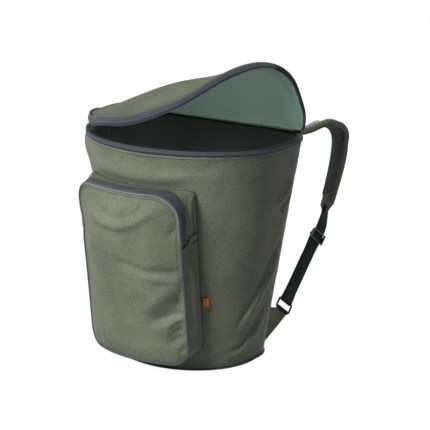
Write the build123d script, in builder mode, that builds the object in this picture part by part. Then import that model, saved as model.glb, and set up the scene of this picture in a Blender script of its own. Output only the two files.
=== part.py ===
import math
import os

from build123d import *

# Mushroom back basket: a tapered soft tub with a zipped lid, a front pocket and two shoulder straps.
# Millimetres, +Z up, +X to the wearer's right, +Y towards the wearer's back, origin under the base.

# Tub, given by its plan at the rim and at the base
WALL_HEIGHT = 420.0
RIM_HALF_WIDTH, RIM_FRONT, RIM_BACK, RIM_CORNER = 200.0, 166.0, 147.0, 95.0
BASE_HALF_WIDTH, BASE_FRONT, BASE_BACK, BASE_CORNER = 143.0, 124.5, 85.5, 62.0
SEAM_RIM_Y, SEAM_BASE_Y = 118.0, 67.0
FABRIC = 1.6
FOAM = 4.5
LINING = 1.0
PLY_GAP = 0.3
FOAM_FACE = -FABRIC - PLY_GAP
LINING_FACE = FOAM_FACE - FOAM - PLY_GAP

# Floor of the tub
BASE_SKIN = 1.8
BOARD = 3.0
BOARD_LOW = BASE_SKIN + PLY_GAP
FLOOR_LOW = BOARD_LOW + BOARD + PLY_GAP
CORD_LOW, CORD_HIGH = 0.8, 4.4

# Rim zip and the lid that it closes; both halves of the zip grow lower towards the hinge
TAPE_FACE, TAPE_BACK, TAPE_THICK = -0.2, -1.4, 1.2
COIL_FACE, COIL_BACK, COIL_TALL = 0.3, -1.9, 1.6
RIM_TAPE_END, LID_TAPE_END = 1.6, 1.7
RIM_TAPE_SHARE = 0.42
TAPE_GAP, LID_HEM = 0.2, 1.0
LID_FABRIC = 1.4
LID_FOAM_LOW, LID_FOAM_HIGH = -3.0, -0.6
LID_LINING_LOW, LID_LINING_HIGH = -4.6, -3.6
HINGE_Y, HINGE_Z = 105.0, 428.0
HINGE_CORD, HINGE_HALF = 1.6, 168.0
LID_FRONT_Z = 446.0
LID_TAPER = (LID_FRONT_Z - HINGE_Z) / (HINGE_Y + RIM_FRONT)
LID_CURL = math.radians(66.0)
CURL_AT_MIDDLE = 0.488
CURL_X, CURL_Y, CURL_Z = 0.00122, 0.00159, -0.00028
CURL_HEIGHT = 450.0
SWELL_TALL, SWELL_X, SWELL_Y, SWELL_WIDE = 15.5, -12.0, -32.0, 100.0
SWELL_RIM, SWELL_HINGE = 0.6, 50.0
# Depth, place and width of each dip of the lid's edge; a depth below zero is a rise
EDGE_DIPS = [(8.0, 89.0, -148.0, 49.0), (9.9, -191.5, -22.6, 74.0), (-7.8, -75.0, -146.0, 60.6)]
EDGE_STEPS = 44
LID_COLUMNS, LID_ROWS = 24, 8

# Front pocket
POCKET_HALF_WIDTH = 111.5
POCKET_MIDDLE = -6.0
POCKET_LOW, POCKET_HIGH = 31.0, 357.0
POCKET_TOP_CORNER, POCKET_LOW_CORNER = 42.0, 30.0
POCKET_DEPTH = 48.6
POCKET_REACH = 270.0
POCKET_STATIONS = 40
POCKET_ZIP_START = 0.64
ZIP_REAR, ZIP_COIL_REAR, ZIP_COIL_FRONT, ZIP_FRONT = 24.0, 40.0, 42.4, 46.6
PIPING = 3.0
POCKET_COIL = 0.6
POCKET_SEAM = 1.6

# Shoulder straps, the right one; the left one mirrors it
PAD_FABRIC, PAD_FOAM = 1.4, 9.0
PAD_WIDTH, PAD_TIP_WIDTH = 58.0, 34.0
WEB_ROOT_TWIST, WEB_TWIST = 88.0, 115.0
PAD_STATIONS = 28
WEB_WIDTH, WEB_THICK = 25.0, 1.6
LOOP_RADIUS = 3.5
RING_BAR = 2.0
RING_LENGTH, RING_WIDTH, RING_CORNER = 20.0, 33.0, 3.4
RING_TOP = Vector(132, 142, 76)
WEB_DIRECTION = Vector(-0.01, 0.74, 0.672).normalized()
BAR_DIRECTION = WEB_DIRECTION.cross(Vector(0.905, -0.275, 0.317)).normalized()
BUCKLE_UP = 152.0
BUCKLE_REACH, BUCKLE_BAR, BUCKLE_LIFT = 9.5, 1.6, 6.8
WEB_LONG, WEB_TAIL = 172.0, 166.0
HEM_OUTER, HEM_INNER, HEM_LENGTH = 4.3, 2.6, 26.0
WEDGE_HIGH, WEDGE_LOW, WEDGE_THICK = 84.0, 12.0, 2.2
PAD_POINTS = [
    (97, 148.4, 404),
    (112, 215, 399),
    (119, 263, 400.6),
    (122, 322, 392),
    (124, 354.7, 364.2),
    (125, 354, 342.3),
    (127, 330.5, 284.5),
    (129, 299, 234),
]
# Share along the pad and its twist there
PAD_TURNS = [(0.0, 0.0), (0.34, -22.5), (0.455, -5.0), (0.655, 36.5), (1.0, 39.0)]

# Grab loop on the back
LOOP_LOW, LOOP_TALL = 390.0, 20.0
LOOP_HALF, LOOP_OUT, LOOP_THICK = 27.0, 14.0, 2.2

# Zip sliders and their pulls, on a plane whose X runs along the zip and whose Z points outwards
SLIDER_LONG, SLIDER_WIDE, SLIDER_PLATE = 10.0, 7.6, 1.4
SLIDER_LIFT = 0.4
ARCH_REACH, ARCH_WIDE, ARCH_HIGH, ARCH_BAR = 3.4, 3.0, 5.4, 1.1
PULL_PIN, PULL_PIN_HIGH = 0.8, 3.0
PULL_WIDE, PULL_ARM, PULL_LONG, PULL_HOLE = 6.8, 8.0, 28.0, 1.3
POCKET_SLIDER_Z = 288.0
POCKET_ZIP_WAY = (0, -0.094, 1)
LID_SLIDER_Y = 44.0

# Plain woven tab in the pocket's side seam
TAB_LONG, TAB_TALL, TAB_THICK, TAB_GAP = 9.6, 17.0, 2.4, 0.9
TAB_X, TAB_Z = 114.0, 140.0

os.makedirs("parts", exist_ok=True)


def between(low, high, share):
    return low + (high - low) * share


def smooth(share):
    share = min(max(share, 0.0), 1.0)
    return share * share * (3.0 - 2.0 * share)


def tub_size(height, grow):
    share = height / WALL_HEIGHT
    half_width = between(BASE_HALF_WIDTH, RIM_HALF_WIDTH, share) + grow
    front = between(BASE_FRONT, RIM_FRONT, share) + grow
    back = between(BASE_BACK, RIM_BACK, share) + grow
    corner = between(BASE_CORNER, RIM_CORNER, share) + grow
    return half_width, front, back, corner


# Plan of the tub at a height, grown outwards, drawn at a level
def plan(height, grow, level):
    half_width, front, back, corner = tub_size(height, grow)
    with BuildSketch(Plane.XY.offset(level)) as drawing:
        with BuildLine():
            EllipticalCenterArc((0, 0), half_width, front, start_angle=180, arc_size=180)
            Line((half_width, 0), (half_width, back - corner))
            CenterArc((half_width - corner, back - corner), corner, 0, 90)
            Line((half_width - corner, back), (corner - half_width, back))
            CenterArc((corner - half_width, back - corner), corner, 90, 90)
            Line((-half_width, back - corner), (-half_width, 0))
        make_face()
    return drawing.sketch


def tub(low, high, grow):
    with BuildPart() as block:
        add(plan(low, grow, low))
        add(plan(high, grow, high))
        loft(ruled=True)
    return block.part


def shell(low, high, outer, inner):
    with BuildPart() as ring:
        add(tub(low, high, outer))
        add(tub(low, high, inner), mode=Mode.SUBTRACT)
    return ring.part


# Upright band that follows the plan at one height
def band(height, outer, inner, low, high):
    with BuildPart() as ring:
        add(plan(height, outer, low))
        extrude(amount=high - low)
        add(plan(height, inner, low))
        extrude(amount=high - low, mode=Mode.SUBTRACT)
    return ring.part


def slab(height, grow, low, high):
    with BuildPart() as plate:
        add(plan(height, grow, low))
        extrude(amount=high - low)
    return plate.part


# Pocket outline, drawn through the whole front of the tub
def pocket_block():
    with BuildPart() as block:
        with BuildSketch(Plane.XZ) as face:
            with Locations((POCKET_MIDDLE, (POCKET_LOW + POCKET_HIGH) / 2)):
                Rectangle(2 * POCKET_HALF_WIDTH, POCKET_HIGH - POCKET_LOW)
            fillet(face.vertices().group_by(Axis.Y)[0], POCKET_LOW_CORNER)
            fillet(face.vertices().group_by(Axis.Y)[-1], POCKET_TOP_CORNER)
        extrude(amount=POCKET_REACH)
    return block.part


# Half of the pocket outline about its middle, from its foot to its top
def pocket_path():
    low_x, top_x = POCKET_HALF_WIDTH - POCKET_LOW_CORNER, POCKET_HALF_WIDTH - POCKET_TOP_CORNER
    low_z, top_z = POCKET_LOW + POCKET_LOW_CORNER, POCKET_HIGH - POCKET_TOP_CORNER
    with BuildLine(Plane.XZ) as path:
        Line((0, POCKET_LOW), (low_x, POCKET_LOW))
        CenterArc((low_x, low_z), POCKET_LOW_CORNER, 270, 90)
        Line((POCKET_HALF_WIDTH, low_z), (POCKET_HALF_WIDTH, top_z))
        CenterArc((top_x, top_z), POCKET_TOP_CORNER, 0, 90)
        Line((top_x, POCKET_HIGH), (0, POCKET_HIGH))
    return path.wire()


# How far the front of the tub, grown outwards, stands forward at a place
def front_y(x, z, grow):
    half_width, front, _, _ = tub_size(z, grow)
    return -front * math.sqrt(1 - (x / half_width) ** 2)


# Strip round the pocket's rim between two depths in front of the wall, over a share of the outline
def pocket_rim(outer, inner, rear, front, start, stop):
    path = pocket_path()
    with BuildPart() as rim:
        for side in (1, -1):
            for station in range(POCKET_STATIONS + 1):
                share = between(start, stop, station / POCKET_STATIONS)
                spot, way = path @ share, path % share
                x, along = POCKET_MIDDLE + side * spot.X, Vector(side * way.X, 0, way.Z)
                near, far = front_y(x, spot.Z, front), front_y(x, spot.Z, rear)
                out = Vector(0, side, 0).cross(along)
                middle = Vector(x, (near + far) / 2, spot.Z) + out * ((outer + inner) / 2)
                with BuildSketch(Plane(middle, x_dir=out, z_dir=along)):
                    Rectangle(outer - inner, far - near)
            loft()
    return rim.part


# How far a point of the closed lid has turned about the hinge, with the front right corner curled up
def curl(x, y, z):
    turn = 0.4 * LID_CURL
    for _ in range(60):
        reach, rise = y - HINGE_Y, z - HINGE_Z
        new_y = HINGE_Y + reach * math.cos(turn) + rise * math.sin(turn)
        new_z = HINGE_Z - reach * math.sin(turn) + rise * math.cos(turn)
        share = CURL_AT_MIDDLE + CURL_X * x + CURL_Y * new_y + CURL_Z * (new_z - CURL_HEIGHT)
        turn = 0.6 * turn + 0.4 * LID_CURL * smooth(share)
    return turn


def turned(way, turn):
    flat, up = math.cos(turn), math.sin(turn)
    return Vector(way.X, way.Y * flat + way.Z * up, way.Z * flat - way.Y * up)


def lifted(x, y, z):
    hinge = Vector(0, HINGE_Y, HINGE_Z)
    return hinge + turned(Vector(x, y, z) - hinge, curl(x, y, z))


# Back edge of the lid: the hinge line, running into the tub's rounded corners
def lid_back(x, grow):
    half_width, _, back, corner = tub_size(WALL_HEIGHT, grow)
    past = max(abs(x) - (half_width - corner), 0.0)
    arc = back - corner + math.sqrt(max(corner * corner - past * past, 0.0))
    return (arc ** -10 + (HINGE_Y - HINGE_CORD - 1.0) ** -10) ** -0.1


# How much taller than at the hinge the zip is, from wall to lid
def zip_slack(y):
    return LID_TAPER * (HINGE_Y - y)


# How far under the lid its half of the zip tape ends
def lid_tape_low(y):
    return LID_HEM + LID_TAPE_END + (1 - RIM_TAPE_SHARE) * zip_slack(y)


# Height of the shut lid, which swells in the middle and dips or rises a little along its edge
def lid_level(x, y):
    inset = 1 - (x / RIM_HALF_WIDTH) ** 2 - (min(y, 0.0) / RIM_FRONT) ** 2
    from_hinge = (HINGE_Y - HINGE_CORD - y) / SWELL_HINGE
    swell = SWELL_TALL * math.exp(-((x - SWELL_X) ** 2 + (y - SWELL_Y) ** 2) / SWELL_WIDE**2)
    dip = 0.0
    for deep, dip_x, dip_y, wide in EDGE_DIPS:
        dip += deep * math.exp(-((x - dip_x) ** 2 + (y - dip_y) ** 2) / wide**2)
    level = HINGE_Z + zip_slack(y) - dip * smooth(from_hinge)
    return level + swell * smooth(min(inset, from_hinge) / SWELL_RIM)


def lid_surface(x, y):
    return lifted(x, y, lid_level(x, y))


# Slope of the curled lid, from its front edge down to the hinge
def lid_slope(x, y):
    step = lid_surface(x, y + 1) - lid_surface(x, y)
    return math.atan2(-step.Z, step.Y)


# Point of the curled lid, moved square to the fabric
def lid_point(x, y, rise):
    return lid_surface(x, y) + turned(Vector(0, 0, rise), lid_slope(x, y))


# Line across a ply of the lid, on the plane of its upright slice
def lid_line(x, places, rise):
    spots = [lid_point(x, y, rise) for y in places]
    return [(spot.Y, spot.Z) for spot in spots]


# Ply of the lid, drawn through slices that run from its front edge to the hinge
def lid_sheet(low, high, grow):
    half_width, front, _, _ = tub_size(WALL_HEIGHT, grow)
    with BuildPart() as sheet:
        for column in range(LID_COLUMNS + 1):
            swing = math.pi * (column / LID_COLUMNS - 0.5)
            x = half_width * math.sin(swing)
            near, far = -front * math.cos(swing), lid_back(x, grow)
            places = [between(near, far, row / LID_ROWS) for row in range(LID_ROWS + 1)]
            under, over = lid_line(x, places, low), lid_line(x, places, high)
            with BuildSketch(Plane((x, 0, 0), x_dir=(0, 1, 0), z_dir=(1, 0, 0))):
                with BuildLine():
                    Spline(under)
                    Line(under[-1], over[-1])
                    Spline(over)
                    Line(over[0], under[0])
                make_face()
        loft()
    return sheet


# Free edge of the rim, from one end of the hinge round the front to the other
def rim_path(grow):
    half_width, front, back, corner = tub_size(WALL_HEIGHT, grow)
    reach = math.degrees(math.asin((HINGE_Y - 2.0 - back + corner) / corner))
    with BuildLine() as path:
        CenterArc((corner - half_width, back - corner), corner, 180 - reach, reach)
        Line((-half_width, back - corner), (-half_width, 0))
        EllipticalCenterArc((0, 0), half_width, front, start_angle=180, arc_size=180)
        Line((half_width, 0), (half_width, back - corner))
        CenterArc((half_width - corner, back - corner), corner, 0, reach)
    return path.wire()


# Strip of the lid's edge that hangs over the rim when the lid is shut, between two depths under the lid
def lid_skirt(face, back, high, low):
    path = rim_path((face + back) / 2)
    with BuildPart() as skirt:
        for step in range(EDGE_STEPS + 1):
            spot, along = path @ (step / EDGE_STEPS), path % (step / EDGE_STEPS)
            slope = lid_slope(spot.X, spot.Y)
            across = turned(Vector(along.Y, -along.X, 0), slope)
            top, foot = high(spot.Y), low(spot.Y)
            place = lid_point(spot.X, spot.Y, -(top + foot) / 2)
            with BuildSketch(Plane(place, x_dir=across, z_dir=turned(along, slope))):
                Rectangle(face - back, foot - top)
        loft()
    return skirt


# Frame of a strap at a place: across its width, and square to its inner face
def strap_frame(along, twist):
    side = (Vector(1, 0, 0) - along * along.X).normalized()
    inner = along.cross(side)
    turn = math.radians(twist)
    return side * math.cos(turn) + inner * math.sin(turn), inner * math.cos(turn) - side * math.sin(turn)


# The pad leaves the seam flat, runs back on edge and turns over where it folds down
def pad_twist(share):
    twist = 0.0
    for (start, first), (end, last) in zip(PAD_TURNS, PAD_TURNS[1:]):
        twist += (last - first) * smooth((share - start) / (end - start))
    return twist


def pad_width(share):
    return between(PAD_WIDTH, PAD_TIP_WIDTH, smooth((share - 0.72) / 0.28))


# One ply of the shoulder pad, set off from the middle of the foam
def pad_ply(shift, thick):
    with BuildLine() as path:
        Spline(PAD_POINTS, tangents=[(0.1, 1, 0.05), (0.03, -0.55, -0.84)])
    with BuildPart() as ply:
        for station in range(PAD_STATIONS + 1):
            share = station / PAD_STATIONS
            place, along = path.line @ share, path.line % share
            across, inner = strap_frame(along, pad_twist(share))
            with BuildSketch(Plane(place + inner * shift, x_dir=across, z_dir=along)):
                Rectangle(pad_width(share), thick)
        loft()
    return ply


def web_plane(up):
    return Plane(RING_TOP + WEB_DIRECTION * up, x_dir=WEB_DIRECTION, z_dir=BAR_DIRECTION)


def slider(plane):
    with BuildPart(plane) as body:
        with Locations((0, 0, SLIDER_LIFT)):
            Box(SLIDER_LONG, SLIDER_WIDE, SLIDER_PLATE, align=(Align.CENTER, Align.CENTER, Align.MIN))
        fillet(body.edges().filter_by(Axis(plane.origin, plane.z_dir)), 2.4)
        leg_low = SLIDER_LIFT + SLIDER_PLATE / 2
        with Locations((-ARCH_REACH, 0, leg_low), (ARCH_REACH, 0, leg_low)):
            Box(ARCH_BAR, ARCH_WIDE, ARCH_HIGH - leg_low, align=(Align.CENTER, Align.CENTER, Align.MIN))
        with Locations((0, 0, ARCH_HIGH)):
            Box(2 * ARCH_REACH + ARCH_BAR, ARCH_WIDE, ARCH_BAR, align=(Align.CENTER, Align.CENTER, Align.MAX))
    return body


def pull(plane):
    with BuildPart(plane) as tab:
        with Locations((0, 0, PULL_PIN_HIGH)):
            Cylinder(PULL_PIN, PULL_WIDE, rotation=(90, 0, 0))
        side = (PULL_WIDE - 1.4) / 2
        with Locations((-PULL_ARM / 2, side, PULL_PIN_HIGH), (-PULL_ARM / 2, -side, PULL_PIN_HIGH)):
            Box(PULL_ARM, 1.4, 2 * PULL_PIN)
        with BuildSketch(plane.offset(PULL_PIN_HIGH - PULL_PIN)):
            with Locations((-(PULL_ARM + PULL_LONG) / 2 + 0.6, 0)):
                RectangleRounded(PULL_LONG - PULL_ARM + 1.2, PULL_WIDE, 2.0)
            with Locations((4.0 - PULL_LONG, 0)):
                Circle(PULL_HOLE, mode=Mode.SUBTRACT)
        extrude(amount=2 * PULL_PIN)
    return tab


def save(piece, name):
    piece.part.label = name
    export_step(piece.part, f"parts/{name}.step")


def save_pair(piece, name):
    save(piece, f"strap_right_{name}")
    with BuildPart() as other:
        mirror(piece.part, about=Plane.YZ)
    save(other, f"strap_left_{name}")


# Outer wall in two panels, joined by a seam down each back corner
lean = Vector(0, WALL_HEIGHT, SEAM_BASE_Y - SEAM_RIM_Y)
seam = Plane((0, SEAM_BASE_Y, 0), x_dir=(1, 0, 0), z_dir=lean)

with BuildPart() as front_side_panel:
    add(shell(BASE_SKIN, WALL_HEIGHT, 0, -FABRIC))
    split(bisect_by=seam, keep=Keep.BOTTOM)
save(front_side_panel, "front_side_panel")

with BuildPart() as back_panel:
    add(shell(BASE_SKIN, WALL_HEIGHT, 0, -FABRIC))
    split(bisect_by=seam, keep=Keep.TOP)
save(back_panel, "back_panel")

# Foam that keeps the tub open, and the lining inside it
with BuildPart() as wall_foam:
    add(shell(FLOOR_LOW, WALL_HEIGHT - 2, FOAM_FACE, FOAM_FACE - FOAM))
    split(bisect_by=seam, keep=Keep.BOTTOM)
save(wall_foam, "wall_foam")

with BuildPart() as back_foam:
    add(shell(FLOOR_LOW, WALL_HEIGHT - 2, FOAM_FACE, FOAM_FACE - FOAM))
    split(bisect_by=seam, keep=Keep.TOP)
save(back_foam, "back_foam")

with BuildPart() as wall_lining:
    add(shell(FLOOR_LOW + LINING + PLY_GAP, WALL_HEIGHT - 2, LINING_FACE, LINING_FACE - LINING))
save(wall_lining, "wall_lining")

# Base: outer skin, stiff board, lining floor and the corded edge
with BuildPart() as base_panel:
    add(slab(0, 0, 0, BASE_SKIN))
save(base_panel, "base_panel")

with BuildPart() as base_board:
    add(slab(0, FOAM_FACE, BOARD_LOW, BOARD_LOW + BOARD))
save(base_board, "base_board")

with BuildPart() as floor_lining:
    add(slab(0, LINING_FACE, FLOOR_LOW, FLOOR_LOW + LINING))
save(floor_lining, "floor_lining")

with BuildPart() as base_piping:
    add(band(0, 4.0, 0.9, CORD_LOW, CORD_HIGH))
    fillet(base_piping.edges().filter_by(GeomType.ELLIPSE), 1.2)
save(base_piping, "base_piping")

# Rim zip, and the fixed yoke behind the lid
hinge_plane = Plane.XZ.offset(-HINGE_Y)
rim_slope = RIM_TAPE_SHARE * LID_TAPER
tape_top = Plane((0, HINGE_Y, WALL_HEIGHT + RIM_TAPE_END), x_dir=(1, 0, 0), z_dir=(0, rim_slope, 1))
coil_top = Plane(tape_top.origin + Vector(0, 0, COIL_TALL), x_dir=(1, 0, 0), z_dir=tape_top.z_dir)

with BuildPart() as rim_zip_tape:
    add(band(WALL_HEIGHT, TAPE_FACE, TAPE_BACK, WALL_HEIGHT, LID_FRONT_Z))
    split(bisect_by=hinge_plane, keep=Keep.TOP)
    split(bisect_by=tape_top, keep=Keep.BOTTOM)
save(rim_zip_tape, "rim_zip_tape")

with BuildPart() as rim_zip_coil:
    add(band(WALL_HEIGHT, COIL_FACE, COIL_BACK, WALL_HEIGHT, LID_FRONT_Z))
    split(bisect_by=hinge_plane, keep=Keep.TOP)
    split(bisect_by=tape_top, keep=Keep.TOP)
    split(bisect_by=coil_top, keep=Keep.BOTTOM)
save(rim_zip_coil, "rim_zip_coil")

with BuildPart() as lid_yoke:
    add(slab(WALL_HEIGHT, TAPE_FACE, WALL_HEIGHT, HINGE_Z + LID_FABRIC))
    add(slab(WALL_HEIGHT, TAPE_FACE - FABRIC, WALL_HEIGHT, HINGE_Z), mode=Mode.SUBTRACT)
    split(bisect_by=Plane.XZ.offset(-HINGE_Y - HINGE_CORD - 1.0), keep=Keep.BOTTOM)
save(lid_yoke, "lid_yoke")

# Lid: hinge cord, outer fabric, foam, lining, and the skirt with its half of the zip
with BuildPart() as lid_hinge_cord:
    with BuildSketch(Plane.YZ.offset(-HINGE_HALF)):
        with Locations((HINGE_Y, HINGE_Z)):
            Circle(HINGE_CORD)
    extrude(amount=2 * HINGE_HALF)
save(lid_hinge_cord, "lid_hinge_cord")

lid_panel = lid_sheet(0, LID_FABRIC, 0)
save(lid_panel, "lid_panel")

lid_foam = lid_sheet(LID_FOAM_LOW, LID_FOAM_HIGH, TAPE_BACK - 1.5)
save(lid_foam, "lid_foam")

lid_lining = lid_sheet(LID_LINING_LOW, LID_LINING_HIGH, TAPE_BACK - 1.5)
save(lid_lining, "lid_lining")

lid_zip_tape = lid_skirt(TAPE_FACE, TAPE_BACK, lambda y: LID_HEM, lid_tape_low)
save(lid_zip_tape, "lid_zip_tape")

lid_zip_coil = lid_skirt(
    COIL_FACE, COIL_BACK,
    lambda y: lid_tape_low(y) + TAPE_GAP,
    lambda y: lid_tape_low(y) + TAPE_GAP + COIL_TALL,
)
save(lid_zip_coil, "lid_zip_coil")

# Front pocket: face, gusset below, zip with its facing above, and the corded seams
with BuildPart() as pocket_front:
    add(shell(POCKET_LOW - 10, POCKET_HIGH + 10, POCKET_DEPTH, POCKET_DEPTH - FABRIC))
    add(pocket_block(), mode=Mode.INTERSECT)
save(pocket_front, "pocket_front")

with BuildPart() as pocket_gusset:
    add(pocket_rim(0, -FABRIC, POCKET_SEAM, ZIP_FRONT, 0.0, POCKET_ZIP_START))
save(pocket_gusset, "pocket_gusset")

with BuildPart() as pocket_zip_facing:
    add(pocket_rim(0, -FABRIC, POCKET_SEAM, ZIP_REAR, POCKET_ZIP_START, 1.0))
save(pocket_zip_facing, "pocket_zip_facing")

with BuildPart() as pocket_zip_rear_tape:
    add(pocket_rim(0, -TAPE_THICK, ZIP_REAR, ZIP_COIL_REAR, POCKET_ZIP_START, 1.0))
save(pocket_zip_rear_tape, "pocket_zip_rear_tape")

with BuildPart() as pocket_zip_front_tape:
    add(pocket_rim(0, -TAPE_THICK, ZIP_COIL_FRONT, ZIP_FRONT, POCKET_ZIP_START, 1.0))
save(pocket_zip_front_tape, "pocket_zip_front_tape")

with BuildPart() as pocket_zip_coil:
    add(pocket_rim(POCKET_COIL, -FABRIC, ZIP_COIL_REAR, ZIP_COIL_FRONT, POCKET_ZIP_START, 1.0))
save(pocket_zip_coil, "pocket_zip_coil")

with BuildPart() as pocket_piping:
    add(pocket_rim(PIPING, PLY_GAP, ZIP_FRONT - 0.6, POCKET_DEPTH + 1.0, 0.0, 1.0))
save(pocket_piping, "pocket_piping")

with BuildPart() as gusset_piping:
    add(pocket_rim(PIPING, PLY_GAP, PLY_GAP, PIPING, 0.0, 1.0))
save(gusset_piping, "gusset_piping")

# Tab folded into the seam beside the pocket, lying along the wall
tab_half, tab_front, _, _ = tub_size(TAB_Z, 0)
tab_y = front_y(TAB_X, TAB_Z, 0)
tab_out = Vector(TAB_X / tab_half**2, tab_y / tab_front**2, -0.11 / tab_half).normalized()
tab_root = Vector(TAB_X, tab_y, TAB_Z) + tab_out * TAB_GAP
tab_plane = Plane(tab_root, x_dir=Vector(0, 0, 1).cross(tab_out), z_dir=tab_out)
with BuildPart(tab_plane) as seam_tab:
    with BuildSketch(tab_plane):
        RectangleRounded(TAB_LONG, TAB_TALL, 1.0)
    extrude(amount=TAB_THICK)
save(seam_tab, "seam_tab")

# Zip sliders: the pocket's on the left of its gusset, the lid's at the left end of the rim
pocket_left = POCKET_MIDDLE - POCKET_HALF_WIDTH
pocket_y = front_y(pocket_left, POCKET_SLIDER_Z, (ZIP_COIL_REAR + ZIP_COIL_FRONT) / 2)
pocket_spot = (pocket_left - POCKET_COIL, pocket_y, POCKET_SLIDER_Z)
pocket_plane = Plane(pocket_spot, x_dir=POCKET_ZIP_WAY, z_dir=(-1, 0, 0))
pocket_slider = slider(pocket_plane)
save(pocket_slider, "pocket_slider")
pocket_pull = pull(pocket_plane)
save(pocket_pull, "pocket_pull")

lid_slider_z = coil_top.origin.Z + RIM_TAPE_SHARE * zip_slack(LID_SLIDER_Y)
lid_spot = (-RIM_HALF_WIDTH - COIL_FACE, LID_SLIDER_Y, lid_slider_z)
lid_plane = Plane(lid_spot, x_dir=(0, -1, rim_slope), z_dir=(-1, 0, 0))
lid_slider = slider(lid_plane)
save(lid_slider, "lid_slider")
lid_pull = pull(lid_plane)
save(lid_pull, "lid_pull")

# Grab loop, standing out from the back panel
back_lean = Vector(0, RIM_BACK - BASE_BACK, WALL_HEIGHT).normalized()
_, _, loop_back, _ = tub_size(LOOP_LOW, 0)
with BuildPart() as grab_loop:
    with BuildSketch(Plane((0, loop_back + 0.4, LOOP_LOW), x_dir=(1, 0, 0), z_dir=back_lean)):
        with BuildLine():
            Line((-LOOP_HALF, 0), (-LOOP_HALF, LOOP_OUT))
            ThreePointArc((-LOOP_HALF, LOOP_OUT), (0, LOOP_OUT + LOOP_HALF), (LOOP_HALF, LOOP_OUT))
            Line((LOOP_HALF, LOOP_OUT), (LOOP_HALF, 0))
            inside = LOOP_HALF - LOOP_THICK
            Line((LOOP_HALF, 0), (inside, 0))
            Line((inside, 0), (inside, LOOP_OUT))
            ThreePointArc((inside, LOOP_OUT), (0, LOOP_OUT + inside), (-inside, LOOP_OUT))
            Line((-inside, LOOP_OUT), (-inside, 0))
            Line((-inside, 0), (-LOOP_HALF, 0))
        make_face()
    extrude(amount=LOOP_TALL)
save(grab_loop, "grab_loop")

# Shoulder pads: cover, foam and mesh, twisting from the back panel to the webbing
ply_shift = (PAD_FOAM + PAD_FABRIC) / 2 + PLY_GAP
save_pair(pad_ply(-ply_shift, PAD_FABRIC), "cover")
save_pair(pad_ply(0, PAD_FOAM), "foam")
save_pair(pad_ply(ply_shift, PAD_FABRIC), "mesh")

# Webbing: from the pad through the slide buckle, round the ring and back to the buckle
with BuildPart() as webbing:
    with BuildSketch(web_plane(0)):
        with Locations((WEB_LONG / 2, LOOP_RADIUS)):
            Rectangle(WEB_LONG, WEB_THICK)
        with Locations((WEB_TAIL / 2, -LOOP_RADIUS)):
            Rectangle(WEB_TAIL, WEB_THICK)
        Circle(LOOP_RADIUS + WEB_THICK / 2)
        Circle(LOOP_RADIUS - WEB_THICK / 2, mode=Mode.SUBTRACT)
        with Locations((LOOP_RADIUS, 0)):
            Rectangle(2 * LOOP_RADIUS, 2 * LOOP_RADIUS - WEB_THICK, mode=Mode.SUBTRACT)
    extrude(amount=WEB_WIDTH / 2, both=True)
    with BuildLine(mode=Mode.PRIVATE) as upper_path:
        upper_end = web_plane(WEB_LONG - 4).from_local_coords((0, LOOP_RADIUS, 0))
        Spline([Vector(PAD_POINTS[-1]) + Vector(0, -1.5, -2.4), upper_end],
               tangents=[(0.03, -0.55, -0.84), WEB_DIRECTION * -1.0])
    for station in range(11):
        part = station / 10
        web_along = upper_path.line % part
        web_across, _ = strap_frame(web_along, between(WEB_ROOT_TWIST, WEB_TWIST, smooth(part)))
        with BuildSketch(Plane(upper_path.line @ part, x_dir=web_across, z_dir=web_along)):
            Rectangle(WEB_WIDTH * 0.98, WEB_THICK * 0.8)
    loft()
save_pair(webbing, "webbing")

# Slide buckle: end bars over the webbing, middle bar under it
with BuildPart() as buckle:
    with BuildSketch(web_plane(BUCKLE_UP)):
        with Locations((-BUCKLE_REACH, BUCKLE_LIFT), (BUCKLE_REACH, BUCKLE_LIFT), (0, 0)):
            Circle(BUCKLE_BAR)
    extrude(amount=WEB_WIDTH / 2 + 3.4, both=True)
    for way in (-1, 1):
        rail_plane = web_plane(BUCKLE_UP).offset(way * (WEB_WIDTH / 2 + 2.2))
        with BuildSketch(rail_plane):
            with BuildLine():
                for rail_x, rail_y in ((-BUCKLE_REACH, BUCKLE_LIFT), (BUCKLE_REACH, BUCKLE_LIFT), (0, 0)):
                    CenterArc((rail_x, rail_y), BUCKLE_BAR + 0.2, 0, 360)
            make_hull()
        extrude(amount=1.2, both=True)
save_pair(buckle, "buckle")

# Wire ring at the foot of the strap
ring_centre = RING_TOP - WEB_DIRECTION * (RING_LENGTH / 2)
ring_plane = Plane(ring_centre, x_dir=BAR_DIRECTION, z_dir=BAR_DIRECTION.cross(WEB_DIRECTION))
with BuildPart() as ring:
    with BuildSketch(ring_plane, mode=Mode.PRIVATE) as ring_shape:
        RectangleRounded(RING_WIDTH, RING_LENGTH, RING_CORNER)
    ring_path = ring_shape.sketch.wires()[0]
    with BuildSketch(Plane(ring_path @ 0, z_dir=ring_path % 0)):
        Circle(RING_BAR)
    sweep(path=ring_path)
save_pair(ring, "ring")


# Foot wedge: a fabric triangle from the back corner seam to the hem that holds the ring
def seam_spot(height):
    half_width, _, back, corner = tub_size(height, 0)
    y = between(SEAM_BASE_Y, SEAM_RIM_Y, height / WALL_HEIGHT)
    rise = y - (back - corner)
    run = math.sqrt(corner * corner - rise * rise)
    return Vector(half_width - corner + run, y, height) + Vector(run, rise, 0) * (1.7 / corner)


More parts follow.
